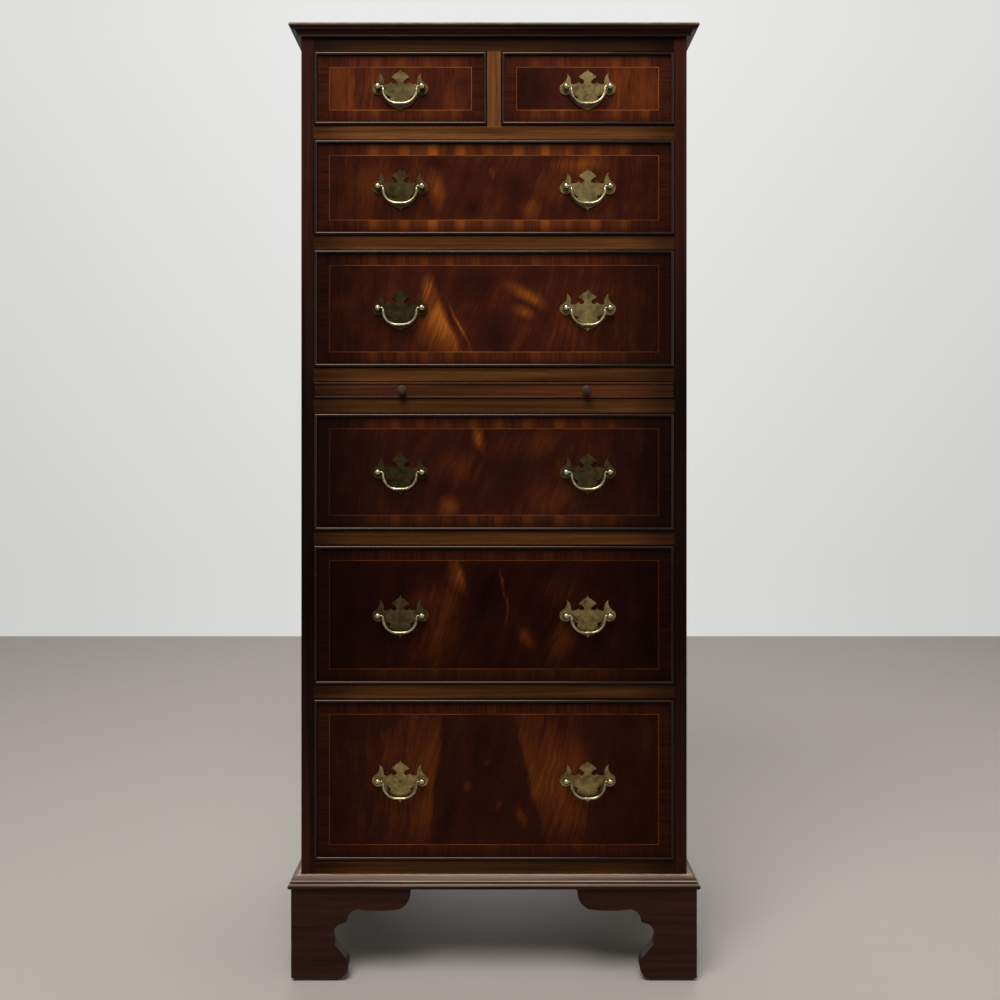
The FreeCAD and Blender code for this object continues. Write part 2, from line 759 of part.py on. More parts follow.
def drawer_front(drawer):
    """Front board rebated for its cockbead, with sockets, a groove and bolt holes."""
    name = drawer.name
    body = new_body(name + "_front_board")
    wide, tall = drawer.half_width, drawer.half_height
    depth = size("bead_depth")
    blank = outline(body, name + "_blank", "XZ_Plane", [rectangle((-wide, -tall), (wide, tall))], -depth)
    pad(body, blank, drawer.front_back_y - depth, back=True)
    bead = size("bead_width")
    field = rectangle((bead - wide, bead - tall), (wide - bead, tall - bead))
    pad(body, outline(body, name + "_field", "XZ_Plane", [field], -depth), depth)
    lining = size("lining_thickness")
    right = outline(body, name + "_right_sockets", "YZ_Plane", drawer.front_tails, wide)
    pocket(body, right, lining)
    left = outline(body, name + "_left_sockets", "YZ_Plane", drawer.front_tails, -wide)
    pocket(body, left, lining, along=True)
    inside = wide - lining
    low = (-inside, drawer.panel_z)
    high = (inside, drawer.groove_z)
    groove = outline(body, name + "_groove", "XZ_Plane", [rectangle(low, high)], -drawer.front_back_y)
    pocket(body, groove, size("groove_depth"), along=True)
    half_spacing = size("handle_spacing") / 2
    radius = size("shank_radius") + size("shank_gap")
    for index, middle in enumerate(drawer.handles):
        for hand in (-1, 1):
            hole_name = "%s_bolt_%d_%d" % (name, index, hand + 1)
            pocket(body, circle(body, hole_name, "XZ_Plane", middle + half_spacing * hand, 0, radius))
    node(place(body, *drawer.origin), name + "_front")


def drawer_cockbead(drawer):
    """Four round-nosed strips let into the edges of the front and mitred at its corners."""
    name = drawer.name
    wide, tall = drawer.half_width, drawer.half_height
    bead = size("bead_width")
    gap = size("bead_mitre_gap")
    swell = size("bead_round")
    nose = swell - size("bead_proud")
    depth = size("bead_depth")

    top = new_body(name + "_bead_top")
    section = [(nose, tall, -swell), (nose, tall - bead), (depth, tall - bead), (depth, tall)]
    pad(top, outline(top, name + "_top_section", "YZ_Plane", [section]), wide * 2, both=True)
    ends = []
    for hand in (1, -1):
        tip = ((wide - gap) * hand, tall)
        heel = ((wide - gap - bead) * hand, tall - bead)
        ends.append([tip, (wide * hand, tall), (wide * hand, tall - bead), heel])
    pocket(top, outline(top, name + "_top_mitres", "XZ_Plane", ends))

    right = new_body(name + "_bead_right")
    section = [(wide - bead, depth), (wide - bead, nose, -swell), (wide, nose), (wide, depth)]
    pad(right, outline(right, name + "_right_section", "XY_Plane", [section]), tall * 2, both=True)
    ends = [[(wide, tall * hand), (wide - bead, tall * hand), (wide - bead, (tall - bead) * hand)]
            for hand in (1, -1)]
    pocket(right, outline(right, name + "_right_mitres", "XZ_Plane", ends))

    bottom = mirrored(top, name + "_bead_bottom", Vector(0, 0, 1))
    left = mirrored(right, name + "_bead_left", Vector(1, 0, 0))
    place(group(name + "_cockbead", [top, bottom, right, left]), *drawer.origin)


def drawer_box(drawer):
    """Two dovetailed sides, a back and a bottom that slides in from behind."""
    name = drawer.name
    wide = drawer.half_width
    lining = size("lining_thickness")
    inside = wide - lining
    low, high = drawer.low_z, drawer.high_z

    side = new_body(name + "_side")
    edge = [(drawer.front_back_y, low)]
    for tail in drawer.front_tails:
        edge += tail
    edge += [(drawer.front_back_y, high), (drawer.back_y, high)]
    for tail in reversed(drawer.back_tails):
        edge += reversed(tail)
    edge += [(drawer.back_y, low)]
    edge.reverse()
    pad(side, outline(side, name + "_side_edge", "YZ_Plane", [edge], inside), lining)
    start = (drawer.front_back_y, drawer.panel_z)
    end = (drawer.back_y, drawer.groove_z)
    groove = outline(side, name + "_side_groove", "YZ_Plane", [rectangle(start, end)], inside)
    pocket(side, groove, size("groove_depth"), along=True)
    other = mirrored(side, name + "_other_side", Vector(1, 0, 0))

    back = new_body(name + "_back")
    face = rectangle((-wide, drawer.groove_z), (wide, drawer.back_high_z))
    pad(back, outline(back, name + "_back_face", "XZ_Plane", [face], -drawer.back_y), lining, back=True)
    right = outline(back, name + "_back_right", "YZ_Plane", drawer.back_tails, wide)
    pocket(back, right, lining)
    left = outline(back, name + "_back_left", "YZ_Plane", drawer.back_tails, -wide)
    pocket(back, left, lining, along=True)

    tongue = size("groove_depth") - size("panel_gap")
    reach = inside + tongue
    bottom = new_body(name + "_bottom")
    tongue_y = drawer.front_back_y - tongue
    plan = [
        (-inside, tongue_y),
        (inside, tongue_y),
        (inside, drawer.front_back_y),
        (reach, drawer.front_back_y),
        (reach, drawer.back_y),
        (inside, drawer.back_y),
        (inside, drawer.end_y),
        (-inside, drawer.end_y),
        (-inside, drawer.back_y),
        (-reach, drawer.back_y),
        (-reach, drawer.front_back_y),
        (-inside, drawer.front_back_y),
    ]
    sheet_plan = outline(bottom, name + "_bottom_plan", "XY_Plane", [plan], drawer.panel_z)
    pad(bottom, sheet_plan, size("bottom_panel"))
    place(group(name + "_box", [side, other, back, bottom]), *drawer.origin)


def plate_corners(corners, start=0):
    """Corners of the backplate with the rise of the arc after each."""
    found = []
    for name, *_ in corners:
        across = size("plate_%s_across" % name) + start
        found.append((across, size("plate_%s_up" % name), size("plate_%s_rise" % name)))
    return found


def flipped(corners):
    """The same corners on the left of the middle, in the order that runs back along them."""
    left = []
    for corner, before in zip(reversed(corners[1:]), reversed(corners[:-1])):
        left.append((-corner[0], corner[1], before[2]))
    return left


def backplate():
    """Pierced backplate with its two bolt holes."""
    body = new_body("backplate")
    ear = plate_corners(PLATE_EAR, size("handle_spacing") / 2)
    right = plate_corners(PLATE_CROWN) + ear + plate_corners(PLATE_BELLY)
    edge = right[:-1] + flipped(right)
    pad(body, outline(body, "backplate_edge", "XZ_Plane", [edge]), size("plate_thickness"))
    hole = plate_corners(PLATE_PIERCING)
    holes = [hole, flipped(hole + hole[:1])]
    pocket(body, outline(body, "backplate_piercings", "XZ_Plane", holes))
    radius = size("shank_radius") + size("shank_gap")
    for hand in (-1, 1):
        middle = size("handle_spacing") / 2 * hand
        pocket(body, circle(body, "backplate_hole_%d" % (hand + 1), "XZ_Plane", middle, 0, radius))
    return body


def post():
    """Left post: shank, collar, neck and ball, bored for the bail's pin."""
    body = new_body("post")
    ball = size("ball_radius")
    axis = -size("bail_offset")
    seat = -size("plate_thickness")
    collar = size("collar_radius")
    neck = size("neck_radius")
    neck_lift = root(ball * ball - neck * neck)
    half_chord = root((ball - neck) * (ball - neck) + neck_lift * neck_lift) / 2
    under_rise = ball - root(ball * ball - half_chord * half_chord)
    shank = size("shank_radius")
    tail = size("front_thickness") + size("nut_thickness") + size("shank_tail")
    section = [
        (0, tail),
        (0, axis - ball, ball * -QUARTER_RISE),
        (ball, axis, -under_rise),
        (neck, axis + neck_lift),
        (neck, seat - size("collar_height")),
        (collar, seat - size("collar_height")),
        (collar, seat),
        (shank, seat),
        (shank, tail),
    ]
    revolve(body, outline(body, "post_section", "XY_Plane", [section]))
    bore = circle(body, "post_bore", "YZ_Plane", axis, 0, size("pin_radius") + size("pin_gap"))
    pocket(body, bore, ball * 2, along=True)
    return body


def nut():
    """Hexagonal nut inside the drawer front."""
    body = new_body("nut")
    corner = size("nut_radius")
    flat = corner * HEXAGON_FLAT
    start = -size("front_thickness")
    right = [(corner / 2, -flat), (corner, 0), (corner / 2, flat)]
    left = [(-across, up) for across, up in reversed(right)]
    pad(body, outline(body, "nut_edge", "XZ_Plane", [right + left], start), size("nut_thickness"), back=True)
    pocket(body, circle(body, "nut_bore", "XZ_Plane", 0, 0, size("shank_radius") + size("shank_gap")))
    return body


def quarter_bend(body, name, radius, arm, x, level, hand):
    """A quarter turn of round wire that starts straight over or under its level axis."""
    sketch = circle(body, name, "YZ_Plane", 0, arm, radius, x)
    bind(sketch, "AttachmentOffset.Base.y", level)
    feature = revolve(body, sketch, "H_Axis", 90)
    feature.Reversed = hand > 0


def bail():
    """Swan-neck bail: a level grip, round corners, tapered uprights, bends and pins."""
    half = size("bail_half_width")
    bend = size("bail_bend")
    corner = size("bail_corner")
    drop = size("bail_drop")
    pin = size("pin_radius")
    grip = size("grip_radius")
    pin_start = half + bend
    pin_end = size("handle_spacing") / 2 - size("pin_end_gap")
    body = new_body("bail")
    bar = circle(body, "bail_bar", "YZ_Plane", 0, -drop, grip)
    pad(body, bar, (half - corner) * 2, both=True)
    for hand, side in ((-1, "left"), (1, "right")):
        start = (half - corner) * hand
        quarter_bend(body, "bail_corner_" + side, grip, -corner, start, corner - drop, hand)
        foot = circle(body, "bail_foot_" + side, "XY_Plane", half * hand, 0, grip, corner - drop)
        head = circle(body, "bail_head_" + side, "XY_Plane", half * hand, 0, pin, -bend)
        upright = body.newObject("PartDesign::AdditiveLoft", "bail_upright_" + side)
        upright.Profile = foot
        upright.Sections = [head]
        quarter_bend(body, "bail_bend_" + side, pin, bend, pin_start * hand, -bend, hand)
        end = circle(body, "bail_pin_" + side, "YZ_Plane", 0, 0, pin, pin_start * hand)
        pad(body, end, pin_end - pin_start, back=hand < 0)
    return body


def drawer_handles(drawer, masters):
    """Backplates, posts and nuts of one drawer, and a separate bail for each handle."""
    plate, left_post, right_post, nut_master, bail_master = masters
    half_spacing = size("handle_spacing") / 2
    pieces = []
    for index, middle in enumerate(drawer.handles):
        prefix = "%s_handle_%d" % (drawer.name, index)
        pieces.append(copy_at(plate, prefix + "_plate", middle, 0, 0))
        for hand, master in ((-1, left_post), (1, right_post)):
            x = middle + half_spacing * hand
            pieces.append(copy_at(master, "%s_post_%d" % (prefix, hand + 1), x, 0, 0))
            pieces.append(copy_at(nut_master, "%s_nut_%d" % (prefix, hand + 1), x, 0, 0))
    place(group(drawer.name + "_handle_plates", pieces), *drawer.origin)
    sides = ("",) if drawer.hand else ("_left", "_right")
    for middle, side in zip(drawer.handles, sides):
        x, y, z = drawer.origin
        label = drawer.name + "_bail" + side
        node(copy_at(bail_master, label, x + middle, y - size("bail_offset"), z), label)


def brushing_slide():
    """Board with a beaded lipping across its front edge and two turned knobs."""
    wide = half_inside - size("gap_side")
    low_z = LEVELS["slide_opening"] + size("running_gap")
    lip_y = front_y + size("lipping_depth")
    end_y = back_face_y - size("slide_back_gap")
    high_z = LEVELS["slide_opening"] + size("slide_opening") - size("gap_top")
    node(board("slide_board", (-wide, lip_y, low_z), (wide, end_y, high_z)), "brushing_slide")

    lip = new_body("lipping")
    lip_low = LEVELS["slide_opening"] + size("gap_bottom")
    bead = size("lipping_bead")
    proud = size("lipping_bead_proud")
    section = [
        (front_y, lip_low),
        (lip_y, lip_low),
        (lip_y, high_z),
        (front_y, high_z, -proud),
        (front_y, high_z - bead),
        (front_y, lip_low + bead, -proud),
    ]
    pad(lip, outline(lip, "lipping_section", "YZ_Plane", [section]), wide * 2, both=True)
    dowel = size("knob_neck")
    middle_z = (lip_low + high_z) / 2
    for hand in (-1, 1):
        x = size("knob_inset") * hand
        hole_name = "knob_hole_%d" % (hand + 1)
        pocket(lip, circle(lip, hole_name, "XZ_Plane", x, middle_z, dowel, -front_y), size("knob_dowel"))
    node(lip, "slide_lipping")

    knob = new_body("knob")
    radius = size("knob_radius")
    reach = -size("knob_length")
    section = [
        (0, size("knob_dowel")),
        (0, reach, -size("knob_face_rise")),
        (radius, -size("knob_belly"), -size("knob_back_rise")),
        (dowel, -size("knob_neck_length")),
        (dowel, size("knob_dowel")),
    ]
    revolve(knob, outline(knob, "knob_section", "XY_Plane", [section]))
    knobs = []
    for hand in (-1, 1):
        x = size("knob_inset") * hand
        knobs.append(copy_at(knob, "knob_%d" % (hand + 1), x, front_y, middle_z))
    group("slide_knobs", knobs)


def write_parts():
    """Check every object and write each sub-part."""
    doc.recompute()
    for obj in doc.Objects:
        if "Invalid" in obj.State or "Error" in obj.State:
            raise RuntimeError("%s did not build: %s" % (obj.Label, obj.State))
    os.makedirs("parts", exist_ok=True)
    shapes = [(obj.Label, Part.getShape(obj)) for obj in nodes]
    for label, shape in shapes:
        if shape.isNull() or not shape.isValid():
            raise RuntimeError("%s has no valid shape" % label)
    for label, shape in shapes:
        shape.exportStep("parts/%s.step" % label)


side_panels()
plain_panels()
cornice()
base_moulding()
rails_and_divider()
runners_and_stops()
feet()
plate_master = backplate()
post_master = post()
far_post_master = mirrored(post_master, "far_post", Vector(1, 0, 0))
MASTERS = (plate_master, post_master, far_post_master, nut(), bail())
for details in DRAWERS:
    one = Drawer(*details)
    drawer_front(one)
    drawer_cockbead(one)
    drawer_box(one)
    drawer_handles(one, MASTERS)
brushing_slide()
write_parts()
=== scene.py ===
"""Finishes, light and camera for a tall mahogany chest of drawers with a brushing slide."""

from collections import namedtuple
from math import radians

import bpy
from bpy.props import FloatProperty, FloatVectorProperty, PointerProperty
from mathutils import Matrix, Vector


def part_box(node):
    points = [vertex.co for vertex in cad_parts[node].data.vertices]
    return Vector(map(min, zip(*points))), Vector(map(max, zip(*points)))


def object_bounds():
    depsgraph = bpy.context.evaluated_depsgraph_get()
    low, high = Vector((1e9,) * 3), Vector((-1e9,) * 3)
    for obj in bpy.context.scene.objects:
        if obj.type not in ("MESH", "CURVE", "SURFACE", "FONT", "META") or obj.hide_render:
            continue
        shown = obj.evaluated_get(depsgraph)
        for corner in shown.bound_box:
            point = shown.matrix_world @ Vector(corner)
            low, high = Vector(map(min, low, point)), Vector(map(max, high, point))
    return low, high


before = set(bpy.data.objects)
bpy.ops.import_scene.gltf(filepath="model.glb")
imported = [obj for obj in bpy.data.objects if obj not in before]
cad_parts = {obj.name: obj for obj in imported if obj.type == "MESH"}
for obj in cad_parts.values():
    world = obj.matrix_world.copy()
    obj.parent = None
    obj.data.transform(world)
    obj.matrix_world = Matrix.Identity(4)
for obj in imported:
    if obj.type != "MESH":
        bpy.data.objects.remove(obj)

CAD_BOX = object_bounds()

bl_info = {
    "name": "Tall chest of drawers",
    "version": (1, 0, 0),
    "blender": (4, 5, 0),
    "location": "View3D > Sidebar > Chest",
    "description": "Veneers, mouldings, brass handles and studio for a tall chest of drawers",
    "category": "Object",
}

MM = 0.001
IMAGE_PIXELS = 1000

# Sockets of a Mix node: the share of B, then A and B as numbers or as colours
SHARE, NUMBER_A, NUMBER_B, COLOUR_A, COLOUR_B = 0, 2, 3, 6, 7

# Settings that many nodes share: a mix of two colours, one colour times another, and a ramp with soft ends
COLOURS = {"data_type": "RGBA", "out": 2}
TIMES = {"data_type": "RGBA", "blend_type": "MULTIPLY", "out": 2}
SOFT = {"interpolation_type": "SMOOTHSTEP"}


def linear(hex_colour, tone=1.0):
    """Scene-linear RGBA of an sRGB hex colour, made lighter or darker by tone."""
    parts = [int(hex_colour[i:i + 2], 16) / 255 for i in (1, 3, 5)]
    parts = [p / 12.92 if p <= 0.04045 else ((p + 0.055) / 1.055) ** 2.4 for p in parts]
    return (*[p * tone for p in parts], 1.0)


def fill(tree, socket, value):
    """Link an output to a socket, or set a plain value on it."""
    if isinstance(value, bpy.types.NodeSocket):
        tree.links.new(value, socket)
    else:
        socket.default_value = value


def add(tree, kind, inputs=(), out=0, stops=(), **settings):
    """Add a node and return the output that is asked for.

    inputs are values or links, listed from the first socket on or given by socket. stops fill a colour ramp.
    """
    node = tree.nodes.new("ShaderNode" + kind)
    for name, value in settings.items():
        setattr(node, name, value)
    for key, value in inputs.items() if isinstance(inputs, dict) else enumerate(inputs):
        fill(tree, node.inputs[key], value)
    if stops:
        ramp = node.color_ramp
        while len(ramp.elements) < len(stops):
            ramp.elements.new(1.0)
        for element, (place, colour) in zip(ramp.elements, stops):
            element.position = place
            element.color = colour
    return node.outputs[out]


def new_finish(name):
    """A new material, its node tree and its shader."""
    material = bpy.data.materials.new(name)
    material.use_nodes = True
    return material, material.node_tree, material.node_tree.nodes["Principled BSDF"]


def plug(tree, shader, **sockets):
    """Link outputs to the shader, or set plain values on it; Base_Color stands for Base Color."""
    for name, value in sockets.items():
        fill(tree, shader.inputs[name.replace("_", " ")], value)


def dress(nodes, *materials):
    """Give CAD nodes these materials, in slot order."""
    for name in nodes:
        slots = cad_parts[name].data.materials
        slots.clear()
        for material in materials:
            slots.append(material)


# Edges that turn by more than this are eased, once corners nearer than this are joined
SHARP_TURN = radians(35)
JOINED_WITHIN = 0.001 * MM


def soften(nodes, width, edge_slot=-1, segments=2):
    """Ease the sharp edges of CAD nodes; the eased faces may take a second material slot."""
    for name in nodes:
        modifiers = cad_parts[name].modifiers
        weld = modifiers.new("joined faces", "WELD")
        weld.merge_threshold = JOINED_WITHIN
        bevel = modifiers.new("eased edges", "BEVEL")
        bevel.width = width
        bevel.segments = segments
        bevel.limit_method = "ANGLE"
        bevel.angle_limit = SHARP_TURN
        bevel.harden_normals = True
        bevel.material = edge_slot


# Pieces of the chest

DRAWERS = ("short_drawer_left", "short_drawer_right", *(f"long_drawer_{row}" for row in range(1, 6)))
BAILS = [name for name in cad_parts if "_bail" in name]

# Figure of each drawer front, in mm from the middle of the front. tone is how light the whole front is, base
# the figure's general lightness, ends how much of it is left at the left and right, leaf how strongly the
# crossband's lighter leaves show, spine where the plumes rise from, and fan how far they lean away from it.
# A patch is a soft spot of lighter figure, or darker with a gain below nothing. lean is in degrees and tips
# its top to the right. keep is the half of it that stays, -1 left or 1 right, with a crisp end; 0 keeps all.
Patch = namedtuple("Patch", "x z wide tall lean gain keep", defaults=(0,))
Figure = namedtuple("Figure", "tone base ends leaf spine fan seed patches")

FIGURES = {
    "short_drawer_left": Figure(
        tone=1.1, base=0.25, ends=0.7, leaf=0.45, spine=70, fan=0.05, seed=1.0, patches=(
            Patch(-70, 0, 62, 110, 0, 0.22, -1), Patch(-40, 12, 30, 60, 0, 0.14),
            Patch(76, 0, 50, 70, 0, 0.07))),
    "short_drawer_right": Figure(
        tone=1.15, base=0.24, ends=0.7, leaf=0.5, spine=-70, fan=0.05, seed=2.0, patches=(
            Patch(-84, 4, 76, 90, 0, -0.15), Patch(40, 0, 34, 80, 6, 0.18),
            Patch(90, 0, 60, 80, 0, 0.14))),
    "long_drawer_1": Figure(
        tone=0.92, base=0.26, ends=0.66, leaf=1.4, spine=10, fan=0.45, seed=3.0, patches=(
            Patch(-85, -7, 17, 38, -8, 0.34), Patch(124, 33, 56, 16, 0, 0.24),
            Patch(52, -30, 20, 22, -30, 0.16), Patch(0, 22, 7, 12, 0, 0.16),
            Patch(-85, 36, 24, 15, 0, -0.16), Patch(29, 0, 24, 34, 0, -0.14),
            Patch(-27, -30, 22, 22, 0, -0.14), Patch(-170, 0, 60, 50, 0, 0.12),
            Patch(120, 0, 70, 60, 0, 0.11))),
    "long_drawer_2": Figure(
        tone=0.92, base=0.25, ends=0.34, leaf=0.5, spine=-18, fan=0.45, seed=4.0, patches=(
            Patch(-66, -20, 60, 76, -20, 0.54, -1), Patch(-97, 30, 15, 34, 12, 0.36),
            Patch(-51, -26, 4, 52, -23, 0.40), Patch(48, 21, 14, 48, -62, 0.40),
            Patch(45, -4, 13, 28, -60, 0.34), Patch(110, -20, 60, 60, 20, 0.12),
            Patch(-22, 36, 46, 36, 0, -0.14), Patch(-4, -30, 36, 44, 0, -0.14))),
    "long_drawer_3": Figure(
        tone=0.66, base=0.26, ends=0.30, leaf=0.75, spine=4, fan=0.45, seed=5.0, patches=(
            Patch(-21, 48, 11, 28, -12, 0.42), Patch(-67, -51, 22, 26, 20, 0.40),
            Patch(-52, 8, 44, 36, 30, 0.16), Patch(64, 44, 50, 30, -30, 0.14),
            Patch(84, -40, 50, 44, 0, 0.14), Patch(20, -10, 44, 64, 0, -0.04))),
    "long_drawer_4": Figure(
        tone=0.58, base=0.13, ends=0.44, leaf=0.25, spine=24, fan=0.45, seed=6.0, patches=(
            Patch(-46, 62, 30, 52, -16, 0.46, -1), Patch(-84, 16, 56, 72, 24, 0.26),
            Patch(12, 44, 3.5, 44, -14, 0.36), Patch(19, 8, 3.5, 40, 6, 0.26),
            Patch(47, -35, 16, 34, -30, 0.30), Patch(100, -38, 26, 60, 14, 0.32),
            Patch(-86, -42, 60, 64, 10, 0.22), Patch(-14, 34, 36, 50, 0, -0.08),
            Patch(96, 40, 50, 56, 10, 0.18))),
    "long_drawer_5": Figure(
        tone=0.78, base=0.18, ends=0.7, leaf=0.15, spine=-4, fan=0.3, seed=7.0, patches=(
            Patch(-84, 0, 170, 170, 5, 0.27, -1), Patch(52, 0, 130, 160, -13, 0.29, 1),
            Patch(110, 4, 60, 120, -6, 0.14), Patch(-14, 24, 14, 7, 0, 0.16),
            Patch(-38, -11, 8, 14, -10, 0.28), Patch(6, -35, 7, 14, 10, 0.20),
            Patch(37, -56, 11, 28, -20, 0.22), Patch(-16, 10, 56, 110, 0, -0.06))),
}

# How light each drawer's left and right backplates are, set plate by plate: in part painted light that lifts
# the plates on the lower drawers, where the lamp is weaker
PLATE_TONES = {
    "short_drawer_left": (0.47, 0.47), "short_drawer_right": (0.94, 0.94), "long_drawer_1": (0.31, 1.14),
    "long_drawer_2": (0.25, 1.34), "long_drawer_3": (0.32, 0.51), "long_drawer_4": (0.68, 1.85),
    "long_drawer_5": (2.37, 1.87),
}

# Wear and painted highlight of each moulding: its pale parts are partly bare wood and partly painted
# highlight of the light from above. upper is how pale the faces that look up are. corner is how pale the top
# corner is, in full at whole mm in from the outer edge and not at all at gone mm. arris is the height of a
# pale edge over the foot of the moulding, in mm, and bare is the colour of that pale wood, for wear and
# highlight alike.
WearAndHighlight = namedtuple("WearAndHighlight", "upper corner whole gone arris bare")
WEAR_AND_HIGHLIGHT = {
    "cornice": WearAndHighlight(upper=0.06, corner=0.65, whole=1.8, gone=3.4, arris=None, bare="#877c5c"),
    "base_moulding": WearAndHighlight(upper=0.9, corner=1.0, whole=12.5, gone=9, arris=11.6, bare="#af9480"),
}


class VeneerSettings(bpy.types.PropertyGroup):
    """Sizes and colours of the drawer fronts."""

    band_width: FloatProperty(
        name="Crossband width", description="Width of the crossband round each drawer front",
        default=22 * MM, unit="LENGTH")
    line_width: FloatProperty(
        name="Stringing width", description="Width of the light line inside the crossband",
        default=1.1 * MM, unit="LENGTH")
    thickness: FloatProperty(
        name="Veneer thickness", description="Depth of the veneer on the front board",
        default=0.9 * MM, unit="LENGTH")
    roughness: FloatProperty(
        name="Polish roughness", description="Roughness of the polish on the fronts",
        default=0.15, min=0.0, max=1.0, subtype="FACTOR")
    line_colour: FloatVectorProperty(
        name="Stringing colour", description="Colour of the light line",
        size=4, default=linear("#7d4522"), subtype="COLOR")


class BrassSettings(bpy.types.PropertyGroup):
    """Sizes and finish of the handles."""

    edge_width: FloatProperty(
        name="Plate bevel", description="Width of the filed bevel round each backplate",
        default=0.75 * MM, unit="LENGTH")
    plate_roughness: FloatProperty(
        name="Plate roughness", description="Roughness of the aged backplates",
        default=0.42, min=0.0, max=1.0, subtype="FACTOR")
    bail_roughness: FloatProperty(
        name="Bail roughness", description="Roughness of the handled bails",
        default=0.26, min=0.0, max=1.0, subtype="FACTOR")


class StageSettings(bpy.types.PropertyGroup):
    """Camera, lamps and background."""

    camera_distance: FloatProperty(
        name="Camera distance", description="Distance from the camera to the drawer fronts",
        default=1.490, unit="LENGTH")
    camera_height: FloatProperty(
        name="Camera height", description="Height of the camera above the floor",
        default=0.770, unit="LENGTH")
    focal_pixels: FloatProperty(
        name="Focal length in pixels", description="Focal length over the pixel pitch of the picture",
        default=1018.0)
    centre_column: FloatProperty(
        name="Centre column", description="Column of the picture that the camera points at", default=494.0)
    centre_row: FloatProperty(
        name="Centre row", description="Row of the picture that the camera points at", default=451.0)
    key_power: FloatProperty(
        name="Key lamp", description="Power of the soft lamp above and in front", default=115.0, unit="POWER")
    fill_power: FloatProperty(
        name="Fill lamp", description="Power of the soft lamp at the side", default=10.0, unit="POWER")
    back_power: FloatProperty(
        name="Back lamp", description="Power of the soft lamp above and behind", default=40.0, unit="POWER")
    low_power: FloatProperty(
        name="Low lamp", description="Power of the soft lamp behind, low over the floor",
        default=0.6, unit="POWER")
    overhead: FloatProperty(
        name="Overhead light", description="Strength of the even light straight overhead", default=0.35)
    horizon: FloatProperty(
        name="Level light", description="Strength of the even light that comes in level", default=0.05)
    wall_colour: FloatVectorProperty(
        name="Wall colour", description="Colour of the wall behind", size=4, default=linear("#dededd"),
        subtype="COLOR")
    floor_colour: FloatVectorProperty(
        name="Floor colour", description="Colour of the floor", size=4, default=linear("#a39c94"),
        subtype="COLOR")


# Wood

# Length and width of a pore in mm: coarser than real, to show
PORE = 30, 0.9
# A face looks to the side when this much of its direction does
SIDEWAYS = 0.6
# Rails and slide darken between these two distances from the middle, to this share of their tone
DARK_FROM, DARKEST = 185 * MM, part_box("side_panel_right")[0].x - 2 * MM
END_TONE = 0.4


def grain(tree, point, run, along, across, seed=0.0, detail=5.0, twist=0.0):
    """Noise drawn out along the run of the wood: along and across are the mm of one streak."""
    scale = [1 / (across * MM)] * 3
    scale["xyz".index(run)] = 1 / (along * MM)
    start = seed * 7.3, seed * 3.1, seed * 5.7
    streaks = add(tree, "Mapping", {"Vector": point, "Scale": scale, "Location": start})
    return add(tree, "TexNoise", {
        "Vector": streaks, "Scale": 1.0, "Detail": detail, "Roughness": 0.6, "Distortion": twist})


def from_ends(tree, place, reach):
    """How far in a place is from the nearer of two ends, which lie at plus and minus reach."""
    return add(tree, "Math", [reach, add(tree, "Math", [place], operation="ABSOLUTE")], operation="SUBTRACT")


def side_faces(tree):
    """One where a face looks to the left or right, nothing elsewhere."""
    sideways = add(tree, "SeparateXYZ", [add(tree, "NewGeometry", out="Normal")])
    sideways = add(tree, "Math", [sideways], operation="ABSOLUTE")
    return add(tree, "Math", [sideways, SIDEWAYS], operation="GREATER_THAN")


def side_boards(tree, point, mitred):
    """Which boards of a mitred node run from front to back, as one or nothing, and how far in a point is."""
    low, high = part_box(mitred)
    x = add(tree, "SeparateXYZ", [point])
    gaps = [from_ends(tree, x, high.x), from_ends(tree, x.node.outputs[1], -low.y)]
    beyond = add(tree, "Math", gaps, operation="LESS_THAN")
    return beyond, add(tree, "Math", gaps, operation="MINIMUM")


